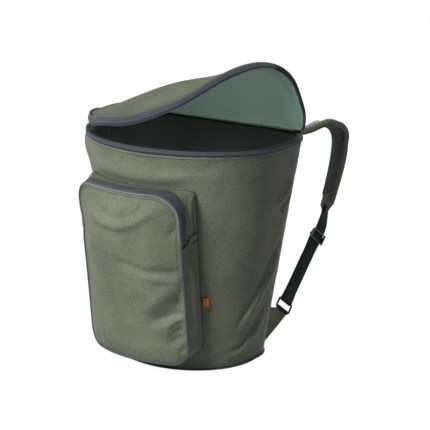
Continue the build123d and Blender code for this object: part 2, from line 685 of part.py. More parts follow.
hem_centre = RING_TOP - WEB_DIRECTION * RING_LENGTH
hem_foot = hem_centre - WEB_DIRECTION * ((HEM_OUTER + HEM_INNER) / 2)
hem_half = BAR_DIRECTION * (HEM_LENGTH / 2 - 0.3)
root_high, root_low = seam_spot(WEDGE_HIGH), seam_spot(WEDGE_LOW)
tip_high, tip_low = hem_foot - hem_half, hem_foot + hem_half
wedge_way = (tip_high + tip_low - root_high - root_low).normalized()
with BuildPart() as wedge:
    with BuildSketch(Plane(hem_centre, x_dir=WEB_DIRECTION, z_dir=BAR_DIRECTION)):
        Circle(HEM_OUTER)
        Circle(HEM_INNER, mode=Mode.SUBTRACT)
    extrude(amount=HEM_LENGTH / 2, both=True)
    for high, low in ((root_high, root_low), (tip_high, tip_low)):
        edge = high - low
        with BuildSketch(Plane((high + low) / 2, x_dir=edge, z_dir=edge.cross(wedge_way.cross(edge)))):
            Rectangle(edge.length, WEDGE_THICK)
    loft(ruled=True)
    with BuildSketch(Plane(hem_centre, x_dir=WEB_DIRECTION, z_dir=BAR_DIRECTION)):
        Circle(HEM_INNER)
    extrude(amount=HEM_LENGTH / 2, both=True, mode=Mode.SUBTRACT)
save_pair(wedge, "wedge")
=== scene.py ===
import math
import bpy
import numpy as np
from mathutils import Matrix, Vector, noise


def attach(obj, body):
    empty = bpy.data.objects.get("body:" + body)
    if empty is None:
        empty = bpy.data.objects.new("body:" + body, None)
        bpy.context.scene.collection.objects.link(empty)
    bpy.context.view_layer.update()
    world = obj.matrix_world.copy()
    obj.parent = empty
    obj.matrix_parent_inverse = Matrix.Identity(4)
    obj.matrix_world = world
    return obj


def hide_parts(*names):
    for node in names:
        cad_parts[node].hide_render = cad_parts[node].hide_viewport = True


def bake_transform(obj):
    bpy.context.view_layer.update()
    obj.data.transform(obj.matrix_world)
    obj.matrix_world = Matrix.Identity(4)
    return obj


# Mushroom back basket: fabric, zips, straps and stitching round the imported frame. Metres, +Z up.
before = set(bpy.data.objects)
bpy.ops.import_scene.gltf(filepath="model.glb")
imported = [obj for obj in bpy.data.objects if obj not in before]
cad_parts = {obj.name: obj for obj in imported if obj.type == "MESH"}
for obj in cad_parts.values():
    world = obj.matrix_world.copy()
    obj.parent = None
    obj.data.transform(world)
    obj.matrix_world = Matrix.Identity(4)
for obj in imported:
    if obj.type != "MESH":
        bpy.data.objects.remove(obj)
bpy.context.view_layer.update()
scene = bpy.context.scene
scene.view_settings.view_transform = "Standard"


# plain arithmetic

quarterTurn = math.pi / 2
creaseFade = {"over": 0.3, "rest": 0.12}  # share of a crease that fades, and what is left at its ends


def mix(a, b, t):
    return a + (b - a) * t


def smooth(t):
    t = np.clip(t, 0.0, 1.0)
    return t * t * (3.0 - 2.0 * t)


def within(t, low, lowFade, high, highFade):  # 1 between low and high, fading to 0 at each
    return smooth((t - low) / lowFade) * smooth((high - t) / highFade)


def bump(offset, width):  # 1 at no offset, falling off on both sides
    return np.exp(-(offset / width) ** 2)


def lump(t, height, at, width):
    return height * bump(t - at, width)


def climb(t, height, start, over):
    return height * smooth((t - start) / over)


def unit(v):
    v = np.asarray(v, float)
    return v / np.maximum(np.linalg.norm(v, axis=-1, keepdims=True), 1e-12)


def pack(*columns):  # points from their coordinates
    return np.stack(np.broadcast_arrays(*columns), axis=-1)


def spans(*parts):  # joined runs of a parameter: (from, to, steps)
    runs = [np.linspace(a, b, n + 1) for a, b, n in parts]
    return np.concatenate([runs[0]] + [r[1:] for r in runs[1:]])


def lengths(path):
    steps = np.linalg.norm(np.diff(path, axis=0), axis=1)
    return np.concatenate([[0.0], np.cumsum(steps)])


def resample(path, values, spots):  # values carried by a path, read at lengths along it
    run = lengths(path)
    return pack(*[np.interp(spots, run, column) for column in values.T])


def soft(points, size, seed):  # slow random swell, from -1 to 1
    shift = Vector((seed, 2.0 * seed, -seed))
    swell = [noise.noise(Vector(p) / size + shift) for p in points.reshape(-1, 3)]
    return np.array(swell).reshape(points.shape[:-1])


def softSwell(points, layers):  # layers of random swell: (height, size, seed)
    return sum(height * soft(points, size, seed) for height, size, seed in layers)


def toLine(points, line):  # distance of each point from a broken line, and how far along it lies
    line = np.asarray(line, float)
    run = lengths(line)
    best = np.full(points.shape[:-1], np.inf)
    along = np.zeros(points.shape[:-1])
    for k, way in enumerate(np.diff(line, axis=0)):
        t = np.clip(((points - line[k]) @ way) / (way @ way), 0, 1)
        gap = np.linalg.norm(points - (line[k] + t[..., None] * way), axis=-1)
        along = np.where(gap < best, mix(run[k], run[k + 1], t) / run[-1], along)
        best = np.minimum(gap, best)
    return best, along


def creaseSwell(points, creases):  # ridges (height above 0) and grooves (below 0), fading at their ends
    swell = np.zeros(points.shape[:-1])
    for line, width, height in creases:
        gap, along = toLine(points, line)
        start, end = [smooth(t / creaseFade["over"] + creaseFade["rest"]) for t in (along, 1 - along)]
        swell += height * start * end * bump(gap, width)
    return swell


# meshes

flatEdge = {"square": 0.4, "inset": 0.7}  # rounding of a strip's edge, in shares of half its thickness


def gridNormals(grid):
    return unit(np.cross(np.gradient(grid, axis=1), np.gradient(grid, axis=0)))


def addObject(name, data):
    obj = bpy.data.objects.new(name, data)
    scene.collection.objects.link(obj)
    return obj


def meshObject(name, verts, faces, uvs, material):
    mesh = bpy.data.meshes.new(name)
    mesh.from_pydata(np.asarray(verts).tolist(), [], faces)
    layer = mesh.uv_layers.new(name="cloth")
    corners = np.zeros(len(mesh.loops), np.int32)
    mesh.loops.foreach_get("vertex_index", corners)
    layer.data.foreach_set("uv", np.asarray(uvs, np.float32)[corners].ravel())
    mesh.polygons.foreach_set("use_smooth", np.ones(len(mesh.polygons), bool))
    mesh.materials.append(material)
    mesh.validate()
    mesh.update()
    return addObject(name, mesh)


def gridUv(grid):  # metres along the cloth, across from its middle and up from its foot
    steps = [np.diff(grid, axis=k, prepend=grid.take([0], axis=k)) for k in (1, 0)]
    u, v = [np.cumsum(np.linalg.norm(step, axis=2), axis=k) for step, k in zip(steps, (1, 0))]
    return pack(u - u[:, [grid.shape[1] // 2]], v)


def shell(name, outer, material, inner):  # closed sheet: its outside, and its back or how far in that lies
    if np.isscalar(inner):
        inner = outer - gridNormals(outer) * inner
    ids = np.arange(outer[..., 0].size).reshape(outer.shape[:2])
    front = pack(ids[:-1, :-1], ids[:-1, 1:], ids[1:, 1:], ids[1:, :-1]).reshape(-1, 4)
    sheets = np.stack([front, front[:, [0, 3, 2, 1]] + ids.size], axis=1).reshape(-1, 4)
    edge = np.concatenate([ids[0], ids[1:, -1], ids[-1, -2::-1], ids[-2:0:-1, 0]])
    after = np.roll(edge, -1)
    sides = pack(after, edge, edge + ids.size, after + ids.size)
    verts = np.concatenate([outer.reshape(-1, 3), inner.reshape(-1, 3)])
    uv = gridUv(outer).reshape(-1, 2)
    faces = np.concatenate([sheets, sides]).tolist()
    return meshObject(name, verts, faces, np.concatenate([uv, uv]), material)


def sweep(name, centres, axisA, axisB, profile, material, closed=False):  # profile carried along a path
    profile = np.asarray(profile, float)
    if profile.ndim == 2:
        profile = np.broadcast_to(profile, (len(centres),) + profile.shape)
    grid = centres[:, None] + profile[..., :1] * axisA[:, None] + profile[..., 1:] * axisB[:, None]
    uv = pack(lengths(profile[0])[None], lengths(centres)[:, None])
    ids = np.arange(grid[..., 0].size).reshape(grid.shape[:2])
    beside = np.roll(ids, -1, axis=1)
    quads = pack(ids, beside, np.roll(beside, -1, axis=0), np.roll(ids, -1, axis=0))
    faces = quads[:len(ids) if closed else -1].reshape(-1, 4).tolist()
    if not closed:
        faces += [ids[0, ::-1].tolist(), ids[-1].tolist()]
    return meshObject(name, grid.reshape(-1, 3), faces, uv.reshape(-1, 2), material)


def tangents(path, closed=False):
    if closed:
        return unit(np.roll(path, -1, axis=0) - np.roll(path, 1, axis=0))
    return unit(np.gradient(path, axis=0))


def flatProfile(width, thick):  # flat strip with rounded edges, A across and B square to it
    half, t = width / 2, thick / 2
    corner, inset = t * flatEdge["square"], half - t * flatEdge["inset"]
    side = [(-half, -corner), (-inset, -t), (0, -t), (inset, -t), (half, -corner)]
    return side + [(-a, -b) for a, b in side]


def cordAlong(name, path, radius, material, outward, closed=False, sides=10):  # tube round a path
    way = tangents(path, closed)
    axisA = unit(outward - way * np.sum(outward * way, axis=1, keepdims=True))
    turn = np.arange(sides) * 2 * math.pi / sides
    ring = pack(radius * np.cos(turn), radius * np.sin(turn))
    return sweep(name, path, axisA, np.cross(way, axisA), ring, material, closed)


def finishPiece(obj, slot, *nodes):
    if nodes:
        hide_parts(*nodes)
    return obj


def onTub(obj, slot, *nodes):
    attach(finishPiece(obj, slot, *nodes), "tub")


# node trees: one group for woven cloth, one for a mottled surface

weaveSpec = {"patch": 0.45, "uneven": 0.6, "detail": 2.0}
mottleSpec = {"slow": 14.0, "slowShare": 0.45, "slowDetail": 3.0, "fineShare": 0.55, "fineDetail": 2.0,
              "from": 0.34, "to": 0.66, "tone": 0.55, "threads": 0.35, "rough": 0.06}


def feed(tree, node, inputs):  # each input is a value, or the socket that drives it
    for key, value in inputs.items():
        if isinstance(value, bpy.types.NodeSocket):
            tree.links.new(value, node.inputs[key])
        else:
            node.inputs[key].default_value = value
    return node


def addNode(tree, kind, inputs=None, **settings):
    node = tree.nodes.new(kind)
    for label, value in settings.items():
        setattr(node, label, value)
    return feed(tree, node, inputs or {})


def mathNode(tree, operation, *values):
    return addNode(tree, "ShaderNodeMath", dict(enumerate(values)), operation=operation).outputs[0]


def noiseNode(tree, vector, scale, detail):
    node = addNode(tree, "ShaderNodeTexNoise", {"Vector": vector, "Scale": scale, "Detail": detail})
    return node.outputs["Fac"]


def mixColour(tree, factor, a, b):
    return addNode(tree, "ShaderNodeMix", {0: factor, 6: a, 7: b}, data_type="RGBA").outputs[2]


def newTree(name, kind, inputs, outputs):  # sockets: label and kind
    tree = bpy.data.node_groups.new(name, kind)
    for way, sockets in (("INPUT", inputs), ("OUTPUT", outputs)):
        for label, socketKind in sockets.items():
            tree.interface.new_socket(label, in_out=way, socket_type="NodeSocket" + socketKind)
    return tree, tree.nodes.new("NodeGroupInput").outputs, tree.nodes.new("NodeGroupOutput")


def buildWeaveGroup():  # over-and-under threads in UV metres
    spec = weaveSpec
    sockets = {"Vector": "Vector", "Threads": "Float", "Rib": "Float"}
    results = {"Height": "Float", "Shade": "Float"}
    tree, start, end = newTree("wovenThreads", "ShaderNodeTree", sockets, results)
    split = addNode(tree, "ShaderNodeSeparateXYZ", {0: start["Vector"]}).outputs
    turn = mathNode(tree, "MULTIPLY", start["Threads"], 2 * math.pi)
    waveU, waveV = [mathNode(tree, "SINE", mathNode(tree, "MULTIPLY", split[axis], turn)) for axis in "XY"]
    plain = mathNode(tree, "MULTIPLY", waveU, waveV)
    ribbed = mathNode(tree, "MULTIPLY", waveV, start["Rib"])
    height = mathNode(tree, "MULTIPLY_ADD", mathNode(tree, "ADD", plain, ribbed), 0.5, 0.5)
    patch = mathNode(tree, "MULTIPLY", start["Threads"], spec["patch"])
    uneven = noiseNode(tree, start["Vector"], patch, spec["detail"])
    feed(tree, end, {
        "Height": mathNode(tree, "ADD", height, mathNode(tree, "MULTIPLY", uneven, spec["uneven"])),
        "Shade": mathNode(tree, "MULTIPLY", mathNode(tree, "ADD", height, uneven), 0.5)})
    return tree


def buildMottleGroup():  # slow and fine unevenness of a surface
    spec = mottleSpec
    sockets = {"Vector": "Vector", **dict.fromkeys(("Colour", "Dark", "Light"), "Color"),
               **dict.fromkeys(("Grain", "Shade"), "Float")}
    results = {"Colour": "Color", "Patches": "Float"}
    tree, start, end = newTree("mottledSurface", "ShaderNodeTree", sockets, results)
    slow = noiseNode(tree, start["Vector"], spec["slow"], spec["slowDetail"])
    fine = noiseNode(tree, start["Vector"], start["Grain"], spec["fineDetail"])
    patches = mathNode(tree, "ADD", mathNode(tree, "MULTIPLY", slow, spec["slowShare"]),
                       mathNode(tree, "MULTIPLY", fine, spec["fineShare"]))
    ends = {"From Min": spec["from"], "From Max": spec["to"]}
    ramp = addNode(tree, "ShaderNodeMapRange", {"Value": patches, **ends}).outputs[0]
    blotch = mixColour(tree, ramp, start["Dark"], start["Light"])
    base = mixColour(tree, spec["tone"], start["Colour"], blotch)
    lit = mixColour(tree, mathNode(tree, "MULTIPLY", start["Shade"], spec["threads"]), base, start["Light"])
    feed(tree, end, {"Colour": lit, "Patches": ramp})
    return tree


weaveGroup = buildWeaveGroup()
mottleGroup = buildMottleGroup()


def finishSurface(name, colour, rough, threads=None, rib=0.0, depth=0.0003, strength=0.5, spread=0.22,
                  grain=420.0, shine=0.5, metallic=0.0):  # threads to the metre
    made = bpy.data.materials.new(name)
    made.use_nodes = True
    tree = made.node_tree
    place = addNode(tree, "ShaderNodeTexCoord").outputs
    dark, light = [(*[c * (1 + way * spread) for c in colour], 1) for way in (-1, 1)]
    mottle = addNode(tree, "ShaderNodeGroup", {
        "Vector": place["Object"], "Colour": (*colour, 1), "Dark": dark, "Light": light, "Grain": grain,
        "Shade": 0.5}, node_tree=mottleGroup)
    patches = mottle.outputs["Patches"]
    height = patches
    if threads:
        weave = addNode(tree, "ShaderNodeGroup", {"Vector": place["UV"], "Threads": threads, "Rib": rib},
                        node_tree=weaveGroup)
        feed(tree, mottle, {"Shade": weave.outputs["Shade"]})
        height = weave.outputs["Height"]
    relief = addNode(tree, "ShaderNodeBump", {"Strength": strength, "Distance": depth, "Height": height})
    low, high = rough - mottleSpec["rough"], min(rough + mottleSpec["rough"], 1.0)
    unevenRough = addNode(tree, "ShaderNodeMapRange", {"Value": patches, "To Min": low, "To Max": high})
    feed(tree, tree.nodes["Principled BSDF"], {
        "Normal": relief.outputs["Normal"], "Base Color": mottle.outputs["Colour"],
        "Roughness": unevenRough.outputs[0], "Metallic": metallic, "Specular IOR Level": shine})
    return made


outerWeave = {"threads": 950, "grain": 330.0}
liningWeave = {"threads": 1300, "depth": 0.0002}
tapeWeave = {"threads": 1100, "rib": 0.8, "depth": 0.0004}
moulded = {"grain": 900.0, "depth": 0.0001}
shellCloth = finishSurface("shellCloth", (0.145, 0.16, 0.117), 0.5, spread=0.62, shine=0.09, **outerWeave)
# pale copy of the sage cloth for fold lines and hems: painted highlight
foldHighlightCloth = finishSurface("foldHighlightCloth", (0.3, 0.31, 0.27), 0.72, 950)
innerLining = finishSurface("innerLining", (0.044, 0.05, 0.045), 0.7, shine=0.15, **liningWeave)
lidLiningCloth = finishSurface("lidLiningCloth", (0.128, 0.226, 0.18), 0.58, spread=0.34, grain=360.0,
                               **liningWeave)
zipTapeCloth = finishSurface("zipTapeCloth", (0.041, 0.048, 0.058), 0.7, shine=0.3, **tapeWeave)
lidTapeCloth = finishSurface("lidTapeCloth", (0.066, 0.076, 0.092), 0.7, shine=0.3, **tapeWeave)
# near-black copy of the lid's tape: painted shade
shadedTapeCloth = finishSurface("shadedTapeCloth", (0.015, 0.017, 0.019), 0.8, shine=0.1, **tapeWeave)
zipCoil = finishSurface("zipCoil", (0.09, 0.095, 0.116), 0.45, spread=0.15, shine=0.3)
# dark copy of the zip coil for the rim, and for the lid's teeth past its top: painted shade
shadedCoil = finishSurface("shadedCoil", (0.018, 0.02, 0.025), 0.5, spread=0.15, shine=0.2)
cordCloth = finishSurface("cordCloth", (0.066, 0.068, 0.092), 0.66, 1200, shine=0.3)
# the straps' cloth is the shell's fabric made paler: painted light
litStrapCloth = finishSurface("litStrapCloth", (0.218, 0.238, 0.176), 0.6, spread=0.5, shine=0.06, **outerWeave)
# the lid's cloth is the shell's fabric made darker: painted shade
shadedLidCloth = finishSurface("shadedLidCloth", (0.116, 0.128, 0.096), 0.7, spread=0.62, shine=0.06, **outerWeave)
pipingCloth = finishSurface("pipingCloth", (0.024, 0.027, 0.036), 0.66, 1200)
webbingCloth = finishSurface("webbingCloth", (0.025, 0.03, 0.03), 0.7, 520, rib=1.4, depth=0.0006,
                             strength=0.8, shine=0.2)
meshCloth = finishSurface("meshCloth", (0.02, 0.024, 0.024), 0.85, 330, depth=0.001, strength=0.9)
threadSlate = finishSurface("threadSlate", (0.155, 0.165, 0.205), 0.7, spread=0.1)
threadDark = finishSurface("threadDark", (0.022, 0.024, 0.026), 0.7, spread=0.1)
dullMetal = finishSurface("dullMetal", (0.42, 0.42, 0.4), 0.38, metallic=0.9, spread=0.12, depth=0.0001)
slateMoulding = finishSurface("slateMoulding", (0.046, 0.049, 0.066), 0.42, spread=0.2, **moulded)
pullMoulding = finishSurface("pullMoulding", (0.125, 0.132, 0.108), 0.5, spread=0.15, **moulded)
boardSheet = finishSurface("boardSheet", (0.05, 0.05, 0.05), 0.7, spread=0.1)
tabCloth = finishSurface("tabCloth", (0.6, 0.21, 0.05), 0.75, 1300, rib=0.6)
print("materials ready")


# rows of like pieces, placed by Geometry Nodes: stitches and zip teeth

rowSize = ("Length", "Width", "Thickness")


def buildRowTree(name, kind, inputs):
    sockets = {"Geometry": "Geometry", **dict.fromkeys(rowSize, "Float"), "Material": "Material"}
    tree, start, end = newTree(name, "GeometryNodeTree", sockets, {"Geometry": "Geometry"})
    size = addNode(tree, "ShaderNodeCombineXYZ", {k: start[label] for k, label in enumerate(rowSize)})
    mesh = addNode(tree, kind, inputs).outputs["Mesh"]
    sized = addNode(tree, "GeometryNodeTransform", {"Geometry": mesh, "Scale": size.outputs[0]})
    turn = {}
    for axis, label, pivot in (("X", "along", "AUTO"), ("Z", "outward", "X")):
        read = addNode(tree, "GeometryNodeInputNamedAttribute", {"Name": label}, data_type="FLOAT_VECTOR")
        aim = {"Vector": read.outputs["Attribute"], **turn}
        align = addNode(tree, "FunctionNodeAlignRotationToVector", aim, axis=axis, pivot_axis=pivot)
        turn = {"Rotation": align.outputs["Rotation"]}
    place = addNode(tree, "GeometryNodeInstanceOnPoints",
                    {"Points": start["Geometry"], "Instance": sized.outputs["Geometry"], **turn})
    solid = addNode(tree, "GeometryNodeRealizeInstances", {"Geometry": place.outputs["Instances"]})
    finish = addNode(tree, "GeometryNodeSetMaterial",
                     {"Geometry": solid.outputs["Geometry"], "Material": start["Material"]})
    feed(tree, end, {"Geometry": finish.outputs["Geometry"]})
    return tree


bead = {"Radius": 0.5, "Subdivisions": 2}
rowTrees = {"stitch": buildRowTree("stitchRow", "GeometryNodeMeshIcoSphere", bead),
            "tooth": buildRowTree("toothRow", "GeometryNodeMeshCube", {})}


def rowOf(shape, name, runs, spec, material):  # runs of (path, outward), with a piece at every pitch
    found = {"spot": [], "along": [], "outward": []}
    for path, outward in runs:
        total = lengths(path)[-1]
        count = max(int(total / spec[shape + "Pitch"]), 1)
        at = (np.arange(count) + 0.5) * total / count
        found["spot"].append(resample(path, path, at))
        found["along"].append(unit(resample(path, tangents(path), at)))
        found["outward"].append(unit(resample(path, outward, at)))
    mesh = bpy.data.meshes.new(name + "Spots")
    mesh.from_pydata(np.concatenate(found["spot"]).tolist(), [], [])
    for label in ("along", "outward"):
        layer = mesh.attributes.new(label, "FLOAT_VECTOR", "POINT")
        layer.data.foreach_set("vector", np.concatenate(found[label]).astype(np.float32).ravel())
    holder = addObject(name + "Spots", mesh)
    modifier = holder.modifiers.new("row", "NODES")
    modifier.node_group = rowTrees[shape]
    values = dict(zip(rowSize, spec[shape]), Material=material)
    for item in rowTrees[shape].interface.items_tree:
        if item.in_out == "INPUT" and item.name in values:
            modifier[item.identifier] = values[item.name]
    made = bpy.data.meshes.new_from_object(holder.evaluated_get(bpy.context.evaluated_depsgraph_get()))
    made.name = name
    bpy.data.objects.remove(holder)
    return addObject(name, made)


# tub: plan at a height, grown outwards

tubSpec = {  # rim and base: half width, front, back and corner radius
    "height": 0.42, "rim": (0.2, 0.166, 0.147, 0.095), "base": (0.143, 0.1245, 0.0855, 0.062),
    "hem": 0.0018, "seam": 0.491, "wall": 0.0064,
}


def tubSize(z, grow):
    t = np.asarray(z) / tubSpec["height"]
    return [mix(b, r, t) + grow for b, r in zip(tubSpec["base"], tubSpec["rim"])]


def outline(p, z, grow=0.0):  # p: 0-1 front, 1-2 right side, 2-3 corner, 3-4 back, 4-5 corner, 5-6 left side
    p, z, grow = np.broadcast_arrays(*[np.asarray(v, float) for v in (p, z, grow)])
    half, front, back, corner = tubSize(z, grow)
    leg, t = np.divmod(p, 1.0)
    legs = [np.mod(leg, 6) == k for k in range(6)]
    cos, sin = np.cos(t * quarterTurn), np.sin(t * quarterTurn)
    flat = back - corner
    x = np.select(legs, [
        -half * np.cos(math.pi * t), half, half - corner + corner * cos,
        (half - corner) * (1 - 2 * t), corner - half - corner * sin, -half])
    y = np.select(legs, [
        -front * np.sin(math.pi * t), flat * t, flat + corner * sin,
        back, flat + corner * cos, flat * (1 - t)])
    return pack(x, y, z)


def onFront(x, z, grow):  # point on the front of the tub, or that far out from it
    half, front, _, _ = tubSize(z, grow)
    return pack(x, -front * np.sqrt(np.maximum(1 - (x / half) ** 2, 0.0)), z)


def roundTub(front, side, corner, back):  # parameter once round the tub, from its steps in each leg
    steps = (front, side, corner, back, corner, side)
    return spans(*[(k, k + 1, n) for k, n in enumerate(steps)])


def roundFront(share, front, side, corner):  # its front part, with a share of each back corner
    return spans((-1 - share, -1, corner), (-1, 0, side), (0, 1, front), (1, 2, side), (2, 2 + share, corner))


def roundBack(share, corner, back):  # and its back part, with the rest of each
    return spans((2 + share, 3, corner), (3, 4, back), (4, 5 - share, corner))


wallSpec = {
    "steps": (190, 10, 12), "rows": 96, "soft": [(0.001, 0.055, 3.1), (0.0005, 0.022, 7.7)],
    "hold": (0.0, 0.05, 1.0, 0.028),
    "roll": (0.0012, 0.4145, 0.0035),  # small roll below the rim: height off the wall, place and width
}

wallCreases = [  # pull lines from the right foot wedge, and folds below the rim, with their width and height
    ([(0.176, 0.056, 0.24), (0.165, 0.001, 0.164), (0.154, -0.032, 0.117),
      (0.139, -0.052, 0.074)], 0.006, -0.0046),
    ([(0.171, 0.056, 0.205), (0.163, 0.008, 0.145), (0.152, -0.024, 0.104),
      (0.14, -0.046, 0.064)], 0.0085, 0.0052),
    ([(0.16, 0.034, 0.116), (0.154, -0.002, 0.08), (0.145, -0.03, 0.046),
      (0.126, -0.066, 0.03)], 0.006, -0.0042),
    ([(0.156, 0.03, 0.088), (0.15, -0.004, 0.056), (0.14, -0.036, 0.03),
      (0.118, -0.074, 0.02)], 0.0075, 0.0036),
    ([(0.186, 0.078, 0.33), (0.184, 0.05, 0.303), (0.181, 0.024, 0.288)], 0.0075, -0.004),
    ([(0.188, 0.072, 0.35), (0.188, 0.046, 0.322), (0.185, 0.016, 0.304)], 0.01, 0.0036),
    ([(0.15, -0.03, 0.052), (0.128, -0.07, 0.04), (0.104, -0.092, 0.034)], 0.008, 0.0024),
    ([(0.125, -0.128, 0.386), (0.055, -0.157, 0.374), (0.0, -0.162, 0.372), (-0.06, -0.155, 0.374),
      (-0.13, -0.127, 0.38)], 0.0125, 0.0052),
    ([(0.15, -0.106, 0.398), (0.105, -0.138, 0.392), (0.06, -0.154, 0.396)], 0.011, -0.0018),
    ([(-0.198, 0.01, 0.402), (-0.178, -0.066, 0.397), (-0.158, -0.096, 0.398),
      (-0.135, -0.118, 0.4)], 0.032, 0.006),
]


def tubWall():
    spec = wallSpec
    p = roundFront(tubSpec["seam"], *spec["steps"])[None]
    z = np.linspace(tubSpec["hem"], tubSpec["height"], spec["rows"])[:, None]
    flat = outline(p, z)
    swell = softSwell(flat, spec["soft"]) + creaseSwell(flat, wallCreases)
    swell = swell * within(z / tubSpec["height"], *spec["hold"]) + lump(z, *spec["roll"])
    outer = flat + gridNormals(flat) * swell[..., None]
    wall = shell("tubWall", outer, shellCloth, outline(p, z, -tubSpec["wall"]))
    onTub(wall, "shell_fabric", "front_side_panel", "wall_foam")


backSpec = {
    "steps": (12, 70), "rows": 80, "border": (0.035, 0.03), "inside": (0.03, 0.03, 0.395, 0.03),
    "hold": (0.0, 0.02, 0.42, 0.012), "pad": 0.0055, "channel": (0.75, 0.052, 0.006),
    "soft": [(0.0008, 0.05, 5.2)],
}


def backWall():  # padded back panel, quilted by its border seam and two channels
    spec = backSpec
    p = roundBack(tubSpec["seam"], *spec["steps"])[None]
    z = np.linspace(tubSpec["hem"], tubSpec["height"], spec["rows"])[:, None]
    flat = outline(p, z)
    across = np.abs(flat[..., 0])
    border, borderFade = spec["border"]
    inside = smooth((tubSize(z, 0)[0] - border - across) / borderFade) * within(z, *spec["inside"])
    swell = spec["pad"] * inside * (1 - lump(across, *spec["channel"])) + softSwell(flat, spec["soft"])
    outer = flat + gridNormals(flat) * (swell * within(z, *spec["hold"]))[..., None]
    obj = shell("backWall", outer, shellCloth, outline(p, z, -tubSpec["wall"]))
    onTub(obj, "shell_fabric", "back_panel", "back_foam")


liningSpec = {
    "steps": (130, 8, 20, 40), "grow": -0.0067, "thick": 0.001, "low": 0.0064, "high": 0.4178, "rows": 60,
    "in": 0.0007, "sag": 0.0014, "soft": (0.06, 9.4), "free": (0.418, 0.03), "floorSteps": (90, 6, 14, 30),
    "rings": 18, "hole": 0.02, "floor": 0.0062, "floorUnder": 0.0054, "floorSag": 0.0006,
    "floorSoft": (0.05, 2.2), "floorHold": 6,
}


def tubLining():
    spec = liningSpec
    p = roundTub(*spec["steps"])[None]
    z = np.linspace(spec["low"], spec["high"], spec["rows"])[:, None]
    flat = outline(p, z, spec["grow"] - spec["thick"])
    top, fade = spec["free"]
    inward = spec["in"] + spec["sag"] * (0.5 + 0.5 * soft(flat, *spec["soft"])) * smooth((top - z) / fade)
    inner = flat - gridNormals(flat) * inward[..., None]
    inner[:, -1] = inner[:, 0]
    obj = shell("tubLining", inner[:, ::-1], innerLining, outline(p, z, spec["grow"])[:, ::-1])
    onTub(obj, "inner_lining", "wall_lining")


def floorLining():
    spec = liningSpec
    edge = outline(roundTub(*spec["floorSteps"]), 0.0, spec["grow"])
    rings = np.linspace(1.0, spec["hole"], spec["rings"])[:, None, None]
    flat = edge[None] * rings
    hold = 1 - rings[..., 0] ** spec["floorHold"]
    flat[..., 2] = spec["floor"] + spec["floorSag"] * (1 + soft(flat, *spec["floorSoft"])) * hold
    flat[:, -1] = flat[:, 0]
    under = flat.copy()
    under[..., 2] = spec["floorUnder"]
    onTub(shell("floorLining", flat, innerLining, under), "inner_lining", "floor_lining")


tubWall()
backWall()
tubLining()
floorLining()
print("tub walls and linings")


# rim zip, yoke and base cord

rimSpec = {
    "steps": (170, 12, 16), "stop": 0.1052, "end": 0.0016, "slope": 0.0279, "skirt": 0.0016,
    "leftDip": (0.0026, -0.012, 0.042), "skirtSide": (0.0052, -0.13, 0.13),  # height, place and reach
    "profile": [  # (grown outwards, share of the tape's height, share of its skirt) round the folded tape
        (0.0008, 0.0, 1.0), (0.0015, 0.0, 0.86), (0.0018, 0.25, 0.0), (0.0017, 0.6, 0.0),
        (0.0012, 0.9, 0.0), (0.0002, 1.0, 0.0), (-0.0014, 1.0, 0.0), (-0.0026, 0.88, 0.0),
        (-0.0032, 0.3, 0.0), (-0.006, 0.0, 0.0), (-0.008, 0.0, 0.35), (-0.0088, 0.0, 1.1),
        (-0.0078, 0.0, 1.15), (-0.0068, 0.0, 0.6), (-0.004, 0.0, 0.4), (-0.0022, 0.0, 0.35),
        (-0.0004, 0.0, 0.6)],
    "teeth": (-0.0008, 0.0008), "seam": (0.001, 0.0046), "middle": (0.0018, 0.45),  # out from the rim, level
    "toothPitch": 0.0019, "tooth": (0.0011, 0.0042, 0.0013),
    "stitchPitch": 0.0042, "stitch": (0.0031, 0.0008, 0.0007),
}


def cornerShare(y, grow=0.0):  # how far round a back corner the rim is at a place front to back
    _, _, back, corner = tubSize(tubSpec["height"], grow)
    return math.asin((y - back + corner) / corner) / quarterTurn


def wayOut(way):  # out of the tub, square to a level path
    return pack(way[:, 1], -way[:, 0], 0.0)


def rimLine(grow, stop):  # rim from one end of the hinge round the front to the other, and the way out of it
    t = cornerShare(stop, grow)
    p = roundFront(t, *rimSpec["steps"])
    line = outline(p, tubSpec["height"], grow)
    return line, wayOut(tangents(line))


def rimTape(line):  # height of the rim's tape above the wall, and how far it laps down over the wall
    spec = rimSpec
    x, y = line[:, 0], line[:, 1]
    tall = spec["end"] + spec["slope"] * (spec["stop"] - y) - lump(y, *spec["leftDip"]) * (x < 0)
    return tall, spec["skirt"] + climb(y, *spec["skirtSide"])


def rimZip():
    spec = rimSpec
    line, outward = rimLine(0.0, spec["stop"])
    tall, skirt = rimTape(line)
    up = np.tile([0.0, 0.0, 1.0], (len(line), 1))
    around = spec["profile"][::-1]
    profile = [[(grow, t * high - s * low) for grow, high, low in around] for t, s in zip(tall, skirt)]
    onTub(sweep("rimZipTape", line, outward, up, profile, zipTapeCloth), "zip_tape", "rim_zip_tape")

    def row(shape, name, grow, level, facing, thread, slot, *nodes):
        path, _ = rimLine(grow, spec["stop"])
        path[:, 2] += level
        onTub(rowOf(shape, name, [(path, facing)], spec, thread), slot, *nodes)

    (teethOut, above), (seamOut, below), (middleOut, share) = spec["teeth"], spec["seam"], spec["middle"]
    # the rim's teeth take the dark coil: painted shade
    row("tooth", "rimZipTeeth", teethOut, tall + above, up, shadedCoil, "zip_coil", "rim_zip_coil")
    row("stitch", "rimStitches", seamOut, -skirt - below, outward, threadDark, "piping")
    row("stitch", "rimTapeStitches", middleOut, share * tall - share * skirt, outward, threadSlate, "piping")


yokeSpec = {
    "steps": (18, 60), "low": 0.4185, "high": 0.4291, "hinge": 0.1076, "halfHinge": 0.1805, "round": 0.0045,
    "roundShare": 0.4, "standRows": 6, "roundRows": 5, "topRows": 10, "sag": 0.001,
    "soft": [(0.0006, 0.03, 4.0)], "thick": 0.0012, "offWall": 0.0004, "nudge": 1e-9,
}


